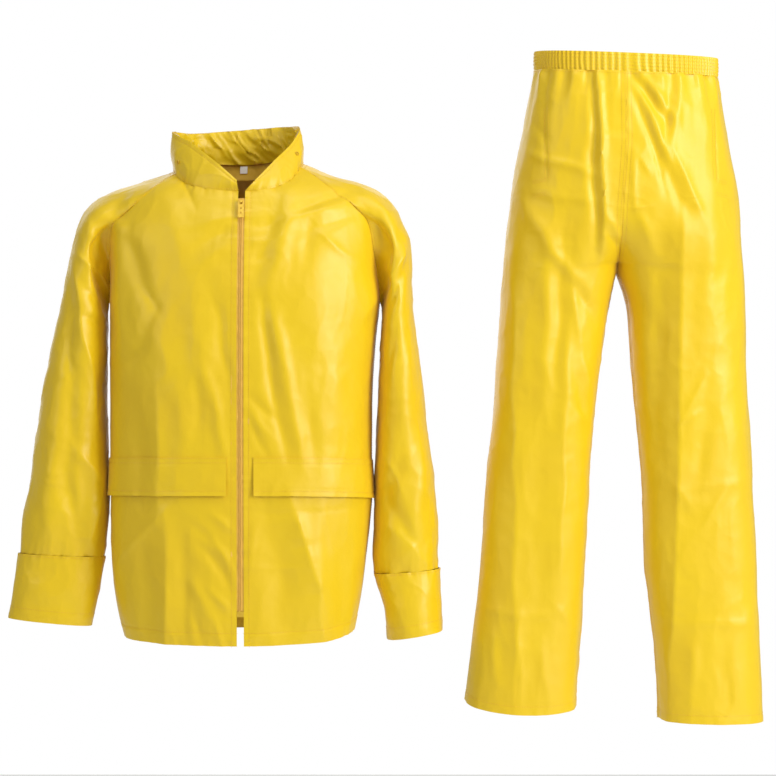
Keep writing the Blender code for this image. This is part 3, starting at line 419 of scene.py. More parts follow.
def edgeDistance(piece, edge):
    # distance from one edge, and the place along it, at every point of a piece
    rows = piece["rows"]
    axis = 1 if edge in ("firstColumn", "lastColumn") else 0
    if edge in ("lastColumn", "lastRow"):
        rows = np.flip(rows, axis=axis)
    steps = np.linalg.norm(np.diff(rows, axis=axis), axis=2)
    away = np.cumsum(np.insert(steps, 0, 0.0, axis=axis), axis=axis)
    line = rows[:, 0] if axis == 1 else rows[0]
    place = np.insert(np.cumsum(np.linalg.norm(np.diff(line, axis=0), axis=1)), 0, 0.0)
    place = np.broadcast_to(place[:, None] if axis == 1 else place[None, :], away.shape)
    if edge in ("lastColumn", "lastRow"):
        away = np.flip(away, axis=axis)
    return away, place


def puckers(piece, edge, pitch, height, reach, seed):
    # small uneven wrinkles that stand square to a sewn edge
    away, place = edgeDistance(piece, edge)
    spots = np.stack((place / pitch, away / (pitch * 6), np.zeros_like(away)), axis=-1)
    wave = softNoise(spots, (1, 1, 1), seed) + 0.5 * softNoise(spots * 1.9, (1, 1, 1), seed + 1)
    return height * wave * np.exp(-away / reach)


def seamGroove(piece, edge, depth=0.9, width=2.2, offset=0.0):
    away, _ = edgeDistance(piece, edge)
    return -depth * np.exp(-(((away - offset) / width) ** 2))


def doubled(piece, edge, width, step=0.55):
    # a turned hem: twice the cloth up to its stitch line, and a groove at the stitches
    away, _ = edgeDistance(piece, edge)
    layer = step / (1 + np.exp(np.clip((away - width) / 0.7, -40, 40)))
    return layer - 0.6 * np.exp(-(((away - width) / 1.6) ** 2))


fold = namedtuple("fold", "side x1 z1 x2 z2 height width edge")


def foldHeights(piece, folds):
    points, push = piece["rows"], piece["push"]
    total = np.zeros(points.shape[:2])
    flatPoints = points[..., (0, 2)]
    for f in folds:
        start = np.array((f.x1, f.z1), float)
        along = np.array((f.x2, f.z2), float) - start
        length = np.linalg.norm(along)
        unit = along / length
        offset = flatPoints - start
        run = offset @ unit
        aside = offset @ np.array((-unit[1], unit[0]))
        bend = softNoise(np.stack((run, aside * 0.2, np.full_like(run, f.x1)), axis=-1), (60, 60, 60), 2)
        aside = aside + bend * 5
        over = np.maximum(0, np.maximum(-run, run - length))
        fade = np.exp(-((over / (2.2 * f.width)) ** 2))
        fade = fade * (0.45 + 0.55 * np.sin(np.clip(run / length, 0.02, 0.98) * math.pi) ** 0.6)
        facing = -push[..., 1] if f.side == "front" else push[..., 1]
        strength = np.clip(facing * 2 - 0.35, 0, 1)
        share = np.abs(aside) / f.width
        profile = np.exp(-share) if f.edge == "sharp" else np.exp(-(share**2))
        total += f.height * strength * fade * profile
    return total


def looseness(piece, seed, large=2.2, small=0.8, crease=0.7, tall=2.4):
    # slack cloth: wide swells, smaller ones, and short sharp creases between them
    points = piece["rows"]
    wide = softNoise(points, (70, 70, 70 * tall), seed)
    near = softNoise(points + 9 * wide[..., None], (26, 26, 26 * tall), seed + 1)
    sharp = softNoise(points + 14 * near[..., None], (34, 34, 34 * tall * 0.8), seed + 2)
    tiny = softNoise(points + 6 * sharp[..., None], (15, 15, 24), seed + 3)
    ridges = (1 - np.abs(sharp)) ** 5 - 0.25
    ridges += 0.45 * ((1 - np.abs(tiny)) ** 4 - 0.3)
    return large * wide + small * near + crease * ridges


def press(piece, heights):
    piece["rows"] = piece["rows"] + piece["push"] * heights[..., None]
    findNormals(piece)


def wallPiece(piece, body, materials, thickness=clothThick, replaces=None):
    # the piece as a closed thin wall: its outer face is the grid, its inner face lies inside
    rows, normals = piece["rows"], piece["normals"]
    inside = rows - (normals * thickness if np.isscalar(thickness) else thickness)
    rowCount, columnCount = rows.shape[:2]
    count = rowCount * columnCount
    points = np.concatenate((rows.reshape(-1, 3), inside.reshape(-1, 3))) * mm
    spans = columnCount if piece["closed"] else columnCount - 1
    r, c = np.meshgrid(np.arange(rowCount - 1), np.arange(spans), indexing="ij")
    d = (c + 1) % columnCount
    quads = np.stack((r * columnCount + c, r * columnCount + d, (r + 1) * columnCount + d, (r + 1) * columnCount + c), axis=-1)
    quads = quads.reshape(-1, 4)
    if piece["flip"]:
        quads = quads[:, ::-1]
    rim = []
    bottom = [(i, (i + 1) % columnCount) for i in range(spans)]
    rim += [(a, b) for a, b in bottom]
    rim += [(b + (rowCount - 1) * columnCount, a + (rowCount - 1) * columnCount) for a, b in bottom]
    if not piece["closed"]:
        for i in range(rowCount - 1):
            last = columnCount - 1
            rim.append(((i + 1) * columnCount, i * columnCount))
            rim.append((i * columnCount + last, (i + 1) * columnCount + last))
    rim = np.array([(b, a, a + count, b + count) for a, b in rim])
    if piece["flip"]:
        rim = rim[:, ::-1]
    faces = np.concatenate((quads, quads[:, ::-1] + count, rim))
    mesh = bpy.data.meshes.new(piece["name"])
    mesh.from_pydata(points.tolist(), [], faces.tolist())
    mesh.polygons.foreach_set("use_smooth", [True] * len(faces))
    inner = np.zeros(len(faces), int)
    inner[len(quads) : 2 * len(quads)] = 1 if len(materials) > 1 else 0
    for finish in materials:
        mesh.materials.append(finish)
    mesh.polygons.foreach_set("material_index", inner)
    across, _ = edgeDistance(piece, "firstColumn")
    up, _ = edgeDistance(piece, "firstRow")
    flat = np.stack((across, up), axis=-1).reshape(-1, 2) * mm
    flat = np.concatenate((flat, flat))
    corners = np.empty(len(mesh.loops), int)
    mesh.loops.foreach_get("vertex_index", corners)
    mesh.uv_layers.new(name="cloth").data.foreach_set("uv", flat[corners].ravel())
    mesh.update()
    mesh.set_sharp_from_angle(angle=math.radians(60))
    made = bpy.data.objects.new(piece["name"], mesh)
    bpy.context.scene.collection.objects.link(made)
    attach(made, body)
    if replaces:
        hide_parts(*replaces)
    return made


def edgeLine(piece, edge, offset, lift=0.3, first=0, last=None):
    # a line on the cloth that runs along one edge, at a distance from it
    rows, normals = piece["rows"], piece["normals"]
    away, _ = edgeDistance(piece, edge)
    if edge in ("firstRow", "lastRow"):
        rows, normals, away = rows.swapaxes(0, 1), normals.swapaxes(0, 1), away.T
    if edge.startswith("last"):
        rows, normals, away = rows[:, ::-1], normals[:, ::-1], away[:, ::-1]
    lifted = rows + normals * lift
    line = []
    for r in range(first, last or len(rows)):
        line.append([np.interp(offset, away[r], lifted[r][:, i]) for i in range(3)])
    if piece["closed"] and edge in ("firstRow", "lastRow"):
        line.append(line[0])
    return np.array(line)


def drawnLine(piece, corners, lift=0.4, step=2.0):
    # a line on the cloth through a few places seen from the front, as (x, z)
    flatPoints = piece["rows"][..., (0, 2)].reshape(-1, 2)
    lifted = (piece["rows"] + piece["normals"] * lift).reshape(-1, 3)
    line = []
    for (x1, z1), (x2, z2) in zip(corners, corners[1:]):
        count = max(2, round(math.hypot(x2 - x1, z2 - z1) / step))
        for share in np.linspace(0, 1, count):
            spot = np.array((x1 + (x2 - x1) * share, z1 + (z2 - z1) * share))
            weight = np.exp(-np.sum((flatPoints - spot) ** 2, axis=1) / 9.0)
            line.append(weight @ lifted / weight.sum())
    return np.array(line)


def beadTree():
    # small rounded pieces at even steps along lines: stitches, and the loops of a zip's coil
    tree = bpy.data.node_groups.new("beadsAlongLines", "GeometryNodeTree")
    sockets = (("Lines", "Geometry"), ("Pitch", "Float"), ("Width", "Float"), ("Thickness", "Float"),
               ("Length", "Float"), ("Seed", "Int"), ("Finish", "Material"))
    for name, kind in sockets:
        tree.interface.new_socket(name, in_out="INPUT", socket_type="NodeSocket" + kind)
    tree.interface.new_socket("Beads", in_out="OUTPUT", socket_type="NodeSocketGeometry")
    start = addNode(tree, "NodeGroupInput").outputs
    curve = addNode(tree, "GeometryNodeMeshToCurve", {}, {"Mesh": start["Lines"]})
    spots = addNode(tree, "GeometryNodeCurveToPoints", {"mode": "LENGTH"}, {
        "Curve": curve.outputs["Curve"], "Length": start["Pitch"]})
    turn = addNode(tree, "FunctionNodeAlignRotationToVector", {"axis": "Z"}, {
        "Vector": spots.outputs["Tangent"]})
    vary = addNode(tree, "FunctionNodeRandomValue", {"data_type": "FLOAT"}, {
        2: 0.88, 3: 1.08, "Seed": start["Seed"]})
    long = addNode(tree, "ShaderNodeMath", {"operation": "MULTIPLY"}, {
        0: start["Length"], 1: vary.outputs[1]})
    size = addNode(tree, "ShaderNodeCombineXYZ", {}, {
        "X": start["Width"], "Y": start["Thickness"], "Z": long.outputs[0]})
    bead = addNode(tree, "GeometryNodeMeshIcoSphere", {}, {"Radius": 0.5, "Subdivisions": 1})
    placed = addNode(tree, "GeometryNodeInstanceOnPoints", {}, {
        "Points": spots.outputs["Points"], "Instance": bead.outputs["Mesh"],
        "Rotation": turn.outputs["Rotation"], "Scale": size.outputs["Vector"]})
    real = addNode(tree, "GeometryNodeRealizeInstances", {}, {"Geometry": placed.outputs["Instances"]})
    finished = addNode(tree, "GeometryNodeSetMaterial", {}, {
        "Geometry": real.outputs["Geometry"], "Material": start["Finish"]})
    end = addNode(tree, "NodeGroupOutput")
    tree.links.new(finished.outputs["Geometry"], end.inputs["Beads"])
    return tree


def sewBeads(name, lines, tree, values, body):
    # lines in millimetres become one mesh of beads
    points, edges = [], []
    for line in lines:
        start = len(points)
        points += (line * mm).tolist()
        edges += [(start + i, start + i + 1) for i in range(len(line) - 1)]
    mesh = bpy.data.meshes.new(name)
    mesh.from_pydata(points, edges, [])
    made = bpy.data.objects.new(name, mesh)
    bpy.context.scene.collection.objects.link(made)
    step = made.modifiers.new(name, "NODES")
    step.node_group = tree
    for item in tree.interface.items_tree:
        if item.in_out == "INPUT" and item.name in values:
            step[item.identifier] = values[item.name]
    ready = made.evaluated_get(bpy.context.evaluated_depsgraph_get())
    beads = bpy.data.meshes.new_from_object(ready)
    made.modifiers.remove(step)
    made.data = beads
    beads.name = name
    beads.polygons.foreach_set("use_smooth", [True] * len(beads.polygons))
    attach(made, body)
    return made


def srgb(code):
    # a hex colour as it looks on screen, turned to the linear values that a shader takes
    parts = [int(code[i : i + 2], 16) / 255 for i in (1, 3, 5)]
    return tuple(p / 12.92 if p <= 0.04045 else ((p + 0.055) / 1.055) ** 2.4 for p in parts) + (1.0,)


def addNode(tree, kind, settings=None, inputs=None):
    node = tree.nodes.new(kind)
    for name, value in (settings or {}).items():
        setattr(node, name, value)
    for name, value in (inputs or {}).items():
        if isinstance(value, bpy.types.NodeSocket):
            tree.links.new(value, node.inputs[name])
        else:
            node.inputs[name].default_value = value
    return node


def startMaterial(name):
    made = bpy.data.materials.new(name)
    made.use_nodes = True
    return made, made.node_tree, made.node_tree.nodes["Principled BSDF"]


nylonLook = {
    "yellow": "#efcc10",
    "deepYellow": "#e6be0a",
    # inside: the coated back of the cloth is duller in the material itself; its darker yellow is painted shade for
    # faces that lie in shade inside the suit
    "inside": "#dfb318",
    "threadSpacing": 1.1,     # a real taffeta thread is 0.2 mm, too fine to show
    "creaseSize": 16.0,       # size of the small crushed facets, mm
    "roughness": 0.42,
}


def coatedNylon(name, base, deep, roughness, weave=0.05, crush=0.22):
    # PU-coated nylon taffeta: smooth and satin, with crushed facets that catch the light
    made, tree, shader = startMaterial(name)
    place = addNode(tree, "ShaderNodeTexCoord")
    cloud = addNode(tree, "ShaderNodeTexNoise", {}, {"Vector": place.outputs["Object"], "Scale": 9.0, "Detail": 4.0})
    tone = addNode(tree, "ShaderNodeMix", {"data_type": "RGBA"}, {
        "Factor": cloud.outputs["Fac"], "A": srgb(base), "B": srgb(deep)})
    tree.links.new(tone.outputs["Result"], shader.inputs["Base Color"])
    gloss = addNode(tree, "ShaderNodeMapRange", {}, {
        "Value": cloud.outputs["Fac"], "From Min": 0.3, "From Max": 0.7,
        "To Min": roughness - 0.05, "To Max": roughness + 0.07})
    tree.links.new(gloss.outputs["Result"], shader.inputs["Roughness"])
    shader.inputs["Sheen Weight"].default_value = 0.12
    shader.inputs["Sheen Roughness"].default_value = 0.4
    shader.inputs["Coat Weight"].default_value = 0.06
    shader.inputs["Coat Roughness"].default_value = 0.28
    shader.inputs["IOR"].default_value = 1.5
    threads = 1000.0 / nylonLook["threadSpacing"]
    warp = addNode(tree, "ShaderNodeTexWave", {"bands_direction": "X", "wave_profile": "SIN"}, {
        "Vector": place.outputs["UV"], "Scale": threads / 20, "Distortion": 0.3})
    weft = addNode(tree, "ShaderNodeTexWave", {"bands_direction": "Y", "wave_profile": "SIN"}, {
        "Vector": place.outputs["UV"], "Scale": threads / 20, "Distortion": 0.3})
    taffeta = addNode(tree, "ShaderNodeMath", {"operation": "MULTIPLY"}, {
        0: warp.outputs["Fac"], 1: weft.outputs["Fac"]})
    bend = addNode(tree, "ShaderNodeTexNoise", {}, {
        "Vector": place.outputs["Object"], "Scale": 1000 / nylonLook["creaseSize"] / 3, "Detail": 3.0})
    stray = addNode(tree, "ShaderNodeVectorMath", {"operation": "SCALE"}, {
        0: bend.outputs["Color"], "Scale": 0.03})
    moved = addNode(tree, "ShaderNodeVectorMath", {"operation": "ADD"}, {
        0: place.outputs["Object"], 1: stray.outputs["Vector"]})
    facets = addNode(tree, "ShaderNodeTexVoronoi", {"feature": "SMOOTH_F1"}, {
        "Vector": moved.outputs["Vector"], "Scale": 1000 / nylonLook["creaseSize"] / 2, "Smoothness": 0.25})
    crushed = addNode(tree, "ShaderNodeBump", {}, {
        "Strength": crush, "Distance": 0.004, "Height": facets.outputs["Distance"]})
    woven = addNode(tree, "ShaderNodeBump", {}, {
        "Strength": weave, "Distance": 0.0003, "Height": taffeta.outputs[0], "Normal": crushed.outputs["Normal"]})
    tree.links.new(woven.outputs["Normal"], shader.inputs["Normal"])
    return made


def polyester(name, colour, roughness=0.6):
    # spun sewing thread and zip tape: dull, with a fine twist
    made, tree, shader = startMaterial(name)
    place = addNode(tree, "ShaderNodeTexCoord")
    twist = addNode(tree, "ShaderNodeTexNoise", {}, {"Vector": place.outputs["Object"], "Scale": 900.0})
    tone = addNode(tree, "ShaderNodeMix", {"data_type": "RGBA"}, {
        "Factor": twist.outputs["Fac"], "A": srgb(colour[0]), "B": srgb(colour[1])})
    tree.links.new(tone.outputs["Result"], shader.inputs["Base Color"])
    shader.inputs["Roughness"].default_value = roughness
    shader.inputs["Sheen Weight"].default_value = 0.25
    ribs = addNode(tree, "ShaderNodeTexWave", {"bands_direction": "Z"}, {
        "Vector": place.outputs["Object"], "Scale": 40.0})
    bump = addNode(tree, "ShaderNodeBump", {}, {
        "Strength": 0.2, "Distance": 0.0002, "Height": ribs.outputs["Fac"]})
    tree.links.new(bump.outputs["Normal"], shader.inputs["Normal"])
    return made


def lacqueredZinc(name):
    # die-cast zip slider, sprayed gold-yellow: soft metal shine, paler where it is rubbed
    made, tree, shader = startMaterial(name)
    place = addNode(tree, "ShaderNodeTexCoord")
    rub = addNode(tree, "ShaderNodeTexNoise", {}, {"Vector": place.outputs["Object"], "Scale": 260.0})
    tone = addNode(tree, "ShaderNodeMix", {"data_type": "RGBA"}, {
        "Factor": rub.outputs["Fac"], "A": srgb("#d9a820"), "B": srgb("#f0cc4c")})
    tree.links.new(tone.outputs["Result"], shader.inputs["Base Color"])
    shader.inputs["Metallic"].default_value = 0.35
    shader.inputs["Roughness"].default_value = 0.33
    bump = addNode(tree, "ShaderNodeBump", {}, {
        "Strength": 0.1, "Distance": 0.0003, "Height": rub.outputs["Fac"]})
    tree.links.new(bump.outputs["Normal"], shader.inputs["Normal"])
    return made


nylon = coatedNylon("coatedNylon", nylonLook["yellow"], nylonLook["deepYellow"], nylonLook["roughness"])
# the inner faces: the coated side, more matte than the face, which is real, and a darker yellow, which is painted shade
# for the inside of the suit
shadedMatteLining = coatedNylon("coatedNylonInsideShaded", nylonLook["inside"], "#d0a314", 0.5, 0.03, 0.15)
thread = polyester("sewingThread", ("#e3b013", "#f0c83a"))
zipCloth = polyester("zipTape", ("#e9b437", "#f3cc62"))
labelCloth = polyester("wovenLabel", ("#f1efe6", "#fbfaf4"), 0.75)
zinc = lacqueredZinc("lacqueredZinc")
print("materials ready")

# Main folds, as ridges or, with a height below 0, as troughs, seen from the front in millimetres.
jacketFolds = (
    fold("front", -190, -88, -191, -180, 5, 15, "soft"),
    fold("front", -190, -180, -181, -296, 4, 15, "soft"),
    fold("front", -176, -92, -147, -178, -5, 13, "soft"),
    fold("front", -147, -178, -132, -202, -5, 10, "sharp"),
    fold("front", -122, -198, -156, -280, -3.5, 12, "soft"),
    fold("front", -156, -280, -188, -298, -3.5, 10, "soft"),
    fold("front", -140, -210, -100, -330, 4, 26, "soft"),
    fold("front", -123, -352, -122, -512, 5, 16, "sharp"),
    fold("front", -160, -370, -158, -500, -4, 18, "soft"),
    fold("front", -109, -560, -109, -746, 6, 15, "sharp"),
    fold("front", -148, -580, -140, -746, -5, 18, "soft"),
    fold("front", -82, -580, -78, -730, -3, 12, "soft"),
    fold("front", -192, -612, -120, -536, 4.5, 10, "sharp"),
    fold("front", -36, -198, -20, -280, -3.5, 10, "soft"),
    fold("front", -20, -280, -6, -350, -3, 8, "soft"),
    fold("front", -60, -240, -52, -330, 3, 16, "soft"),
    fold("front", -46, -322, -14, -432, 3.5, 9, "soft"),
    fold("front", -62, -330, -57, -402, -3, 9, "soft"),
    fold("front", -88, -350, -80, -440, 2.5, 12, "soft"),
    fold("front", -52, -108, -4, -84, -2.6, 8, "soft"),
    fold("front", -60, -78, -4, -66, 2.4, 8, "soft"),
    fold("front", -60, -140, -8, -112, 2.4, 9, "soft"),
    fold("front", -91, 6, -70, -40, -4, 6, "sharp"),
    fold("front", -112, -30, -84, -130, 3, 18, "soft"),
    fold("front", -37, -577, 2, -638, 3.4, 6, "soft"),
    fold("front", -50, -592, -6, -654, -3.2, 7, "soft"),
    fold("front", -34, -540, -4, -566, 2.6, 6, "soft"),
    fold("front", -60, -560, -36, -580, -2.5, 8, "soft"),
    fold("front", -38, -660, -12, -690, 2.6, 6, "soft"),
    fold("front", -70, -640, -40, -700, 2.6, 9, "soft"),
    fold("front", -64, -700, -58, -735, -2.2, 6, "soft"),
    fold("front", -34, -705, -28, -742, 2.0, 5, "soft"),
    fold("front", 84, -54, 57, -155, 5, 15, "soft"),
    fold("front", 58, -60, 34, -150, -3.5, 14, "soft"),
    fold("front", 44, -205, 57, -330, -5, 9, "soft"),
    fold("front", 57, -330, 80, -442, -4, 8, "soft"),
    fold("front", 64, -235, 84, -345, 4.5, 11, "soft"),
    fold("front", 84, -345, 100, -440, 3.5, 9, "soft"),
    fold("front", 133, -140, 130, -300, 4, 34, "soft"),
    fold("front", 160, -300, 150, -430, 3, 20, "soft"),
    fold("front", 112, -350, 122, -436, -2.4, 9, "soft"),
    fold("front", 136, -95, 178, -124, 3.4, 6, "sharp"),
    fold("front", 103, -48, 172, -24, -3.2, 7, "soft"),
    fold("front", 96, -66, 170, -44, 3.2, 8, "soft"),
    fold("front", 118, -80, 112, -126, -3.4, 10, "soft"),
    fold("front", 118, -82, 176, -62, -3, 9, "soft"),
    fold("front", 22, -80, 70, -66, -2.4, 7, "soft"),
    fold("front", 22, -106, 62, -96, 2.4, 7, "soft"),
    fold("front", 22, -130, 58, -124, -2.2, 7, "soft"),
    fold("front", 24, -350, 60, -380, -2.4, 6, "soft"),
    fold("front", 24, -372, 54, -408, 2.4, 6, "soft"),
    fold("front", 26, -398, 50, -436, -2.2, 5, "soft"),
    fold("front", 93, -530, 109, -585, 6.5, 15, "sharp"),
    fold("front", 109, -585, 130, -660, 7.5, 17, "sharp"),
    fold("front", 130, -660, 138, -750, 7.5, 17, "sharp"),
    fold("front", 56, -548, 84, -740, -6.5, 22, "soft"),
    fold("front", 170, -600, 168, -740, -4, 16, "soft"),
    fold("front", 132, -540, 134, -640, 3, 12, "soft"),
    fold("front", 22, -531, 208, -531, -1.2, 3.5, "sharp"),
    fold("front", 24, -618, 120, -618, 1.2, 3, "sharp"),
    fold("front", 30, -560, 20, -640, 2.4, 7, "soft"),
    fold("front", 259, -131, 211, -211, 8, 10, "sharp"),
    fold("front", 262, -150, 226, -222, -6, 11, "soft"),
    fold("front", 272, -104, 236, -150, 5, 14, "soft"),
    fold("front", 238, -187, 217, -372, 5, 10, "sharp"),
    fold("front", 250, -240, 232, -312, -5, 10, "soft"),
    fold("front", 232, -312, 220, -405, -5, 9, "soft"),
    fold("front", 275, -250, 262, -420, 4, 14, "soft"),
    fold("front", 262, -420, 240, -520, -4.5, 12, "soft"),
    fold("front", 300, -430, 284, -560, 4, 13, "soft"),
    fold("front", 232, -440, 262, -500, 4, 9, "sharp"),
    fold("front", 225, -500, 290, -590, -4, 12, "soft"),
    fold("front", 240, -560, 300, -612, 4, 10, "sharp"),
    fold("front", 200, -20, 244, -60, 3.5, 14, "soft"),
    fold("front", 225, -60, 226, -110, -3, 9, "soft"),
    fold("front", -253, -128, -203, -190, 6.5, 8, "sharp"),
    fold("front", -224, -96, -204, -188, -5, 8, "soft"),
    fold("front", -240, -80, -222, -140, 4, 10, "soft"),
    fold("front", -264, -152, -243, -286, 6.5, 10, "sharp"),
    fold("front", -243, -286, -224, -408, 6, 10, "sharp"),
    fold("front", -274, -176, -270, -380, -6.5, 14, "soft"),
    fold("front", -270, -380, -278, -545, -5, 15, "soft"),
    fold("front", -250, -220, -210, -248, -3.5, 8, "soft"),
    fold("front", -246, -176, -208, -232, -4, 8, "soft"),
    fold("front", -256, -444, -224, -491, 5.5, 9, "sharp"),
    fold("front", -224, -491, -238, -590, 5, 10, "sharp"),
    fold("front", -250, -470, -248, -580, -4, 10, "soft"),
    fold("front", -276, -490, -257, -592, -4, 10, "soft"),
    fold("front", -300, -420, -310, -580, 4, 14, "soft"),
    fold("front", -215, -60, -180, -90, 4, 12, "soft"),
    fold("front", -180, -8, -206, -64, -4, 12, "soft"),
    fold("back", -150, -60, 0, -150, 5, 24, "soft"),
    fold("back", 150, -60, 0, -150, 5, 24, "soft"),
    fold("back", -120, -40, 110, -46, -3, 12, "soft"),
    fold("back", -100, -100, 90, -96, 2.5, 12, "soft"),
    fold("back", -200, -220, -120, -330, 5, 13, "sharp"),
    fold("back", 200, -230, 128, -340, 5, 13, "sharp"),
    fold("back", -190, -300, -80, -420, -6, 26, "soft"),
    fold("back", 190, -300, 80, -420, -6, 26, "soft"),
    fold("back", -60, -260, -46, -520, 3.5, 14, "soft"),
    fold("back", 50, -240, 40, -500, -3.5, 14, "soft"),
    fold("back", 4, -420, 2, -738, 4, 13, "sharp"),
    fold("back", -90, -500, -130, -735, 6, 14, "sharp"),
    fold("back", 100, -520, 120, -725, 6, 14, "sharp"),
    fold("back", -50, -560, -62, -735, -5, 18, "soft"),
    fold("back", 58, -560, 64, -735, -5, 18, "soft"),
    fold("back", -180, -560, 180, -556, 1.5, 4, "sharp"),
    fold("back", -280, -180, -225, -240, 6, 11, "sharp"),
    fold("back", 276, -180, 232, -240, 6, 11, "sharp"),
    fold("back", -270, -240, -222, -300, -5, 12, "soft"),
    fold("back", 268, -240, 228, -300, -5, 12, "soft"),
    fold("back", -280, -250, -262, -470, 5, 12, "sharp"),
    fold("back", 264, -260, 258, -470, 5, 12, "sharp"),
    fold("back", -340, -500, -230, -440, 4, 16, "soft"),
    fold("back", 312, -520, 228, -460, 4, 16, "soft"),
    fold("back", -300, -520, -280, -600, -4, 12, "soft"),
    fold("back", 280, -540, 268, -620, -4, 12, "soft"),
)
trouserFolds = (
    fold("front", 566, 168, 565, 30, -6, 8, "soft"),
    fold("front", 578, 150, 577, 40, 5, 7, "soft"),
    fold("front", 565, 30, 570, -114, -6, 8, "soft"),
    fold("front", 579, 66, 580, -110, 6, 8, "sharp"),
    fold("front", 579, 64, 604, 62, 3, 4, "sharp"),
    fold("front", 471, 92, 496, 65, -3.4, 4, "sharp"),
    fold("front", 456, 48, 556, 6, 3.4, 8, "soft"),
    fold("front", 452, -22, 503, -120, 4.5, 12, "soft"),
    fold("front", 503, -120, 540, -160, 3.5, 10, "soft"),
    fold("front", 530, -20, 520, -110, -4.5, 22, "soft"),
    fold("front", 470, -20, 560, -40, 2.4, 10, "soft"),
    fold("front", 494, -130, 492, -330, 4, 13, "soft"),
    fold("front", 535, -168, 545, -260, 4.5, 8, "sharp"),
    fold("front", 545, -180, 566, -214, -4, 8, "soft"),
    fold("front", 588, -60, 606, -90, 3, 6, "sharp"),
    fold("front", 592, -90, 608, -112, -3, 6, "soft"),
    fold("front", 516, -150, 512, -300, -4, 12, "soft"),
    fold("front", 442, -120, 444, -420, 4.5, 12, "sharp"),
    fold("front", 444, -420, 444, -840, 4, 13, "sharp"),
    fold("front", 526, -250, 522, -400, 4, 11, "soft"),
    fold("front", 522, -400, 518, -620, 4, 10, "sharp"),
    fold("front", 480, -330, 482, -680, -3, 22, "soft"),
    fold("front", 554, -290, 566, -340, 3.5, 6, "sharp"),
    fold("front", 546, -330, 562, -420, -3.5, 8, "soft"),
    fold("front", 540, -372, 564, -396, 3, 6, "sharp"),
    fold("front", 379, -686, 451, -703, 2.6, 5, "sharp"),
    fold("front", 451, -703, 514, -694, 2.2, 5, "sharp"),
    fold("front", 451, -703, 451, -835, 3.4, 9, "sharp"),
    fold("front", 514, -694, 540, -720, 1.8, 5, "soft"),
    fold("front", 410, -730, 414, -800, 2, 7, "soft"),
    fold("front", 486, -760, 500, -850, 2, 8, "soft"),
    fold("front", 634, 158, 676, 90, -5, 7, "soft"),
    fold("front", 648, 160, 690, 96, 4, 7, "soft"),
    fold("front", 636, 122, 664, 34, -4.5, 7, "soft"),
    fold("front", 664, 34, 676, -20, -4.5, 7, "sharp"),
    fold("front", 650, 120, 680, 30, 4, 7, "soft"),
    fold("front", 684, 122, 678, 66, -4, 7, "soft"),
    fold("front", 700, 130, 690, 60, 4, 9, "soft"),
    fold("front", 694, 36, 725, -38, 5.5, 9, "sharp"),
    fold("front", 725, -38, 735, -58, 3, 8, "soft"),
    fold("front", 678, 20, 706, -50, -4.5, 10, "soft"),
    fold("front", 706, -60, 706, -260, 6, 13, "sharp"),
    fold("front", 706, -260, 704, -500, 6, 13, "sharp"),
    fold("front", 704, -500, 692, -868, 5.5, 12, "sharp"),
    fold("front", 672, -120, 668, -420, -5, 17, "soft"),
    fold("front", 631, 36, 627, -46, 3.4, 5, "sharp"),
    fold("front", 640, 30, 652, 8, 3, 5, "sharp"),
    fold("front", 627, -50, 650, -48, 2.4, 4, "sharp"),
    fold("front", 640, -60, 660, -110, 3, 9, "soft"),
    fold("front", 760, -20, 752, -200, 3.4, 16, "soft"),
    fold("front", 764.5, 112, 764.5, -2, -2.6, 2.6, "sharp"),
    fold("front", 490.5, 112, 490.5, -2, -2.6, 2.6, "sharp"),
    fold("front", 744, -267, 776, -267, 2, 4, "sharp"),
    fold("front", 776, -267, 806, -288, 2, 4, "sharp"),
    fold("front", 713, -386, 746, -322, 3.4, 8, "sharp"),
    fold("front", 708, -392, 736, -378, 2.6, 5, "sharp"),
    fold("front", 750, -400, 736, -480, -2.6, 12, "soft"),
    fold("front", 709, -501, 820, -487, 2.8, 5, "sharp"),
    fold("front", 706, -503, 724, -530, 2.8, 6, "sharp"),
    fold("front", 744, -560, 778, -504, 2, 6, "soft"),
    fold("front", 664, -702, 701, -713, 2.4, 5, "sharp"),
    fold("front", 701, -713, 828, -717, 2.2, 5, "sharp"),
    fold("front", 730, -740, 726, -850, 2.2, 9, "soft"),
    fold("front", 780, -740, 784, -850, -2.2, 12, "soft"),
    fold("back", 570, -90, 500, -20, 6, 14, "sharp"),
    fold("back", 660, -90, 740, -20, 6, 14, "sharp"),
    fold("back", 590, -70, 520, 40, -4, 14, "soft"),
    fold("back", 650, -70, 726, 44, -4, 14, "soft"),
    fold("back", 440, -360, 560, -400, -5, 20, "soft"),
    fold("back", 660, -380, 810, -350, -5, 20, "soft"),
    fold("back", 450, -340, 556, -372, 3, 7, "sharp"),
    fold("back", 668, -356, 800, -326, 3, 7, "sharp"),
    fold("back", 480, -120, 470, -420, 4, 13, "soft"),
    fold("back", 760, -120, 758, -420, 4, 13, "soft"),
    fold("back", 470, -420, 440, -830, 5, 12, "sharp"),
    fold("back", 750, -420, 770, -850, 5, 12, "sharp"),
    fold("back", 390, -690, 530, -700, 2.2, 5, "sharp"),
    fold("back", 680, -712, 836, -704, 2.2, 5, "sharp"),
)

bodyCentre = (0.0, 0.0, -400.0)
rightFront = makePiece("jacketFrontRight", frontRows(-1), centre=bodyCentre)
leftFront = makePiece("jacketFrontLeft", frontRows(1), centre=bodyCentre)
back = makePiece("jacketBack", backRows(), centre=bodyCentre)
armpit = sum(max(1, round(row.steps * jacket["rowDensity"] * fine)) for row in bodyRows[:armpitRow])

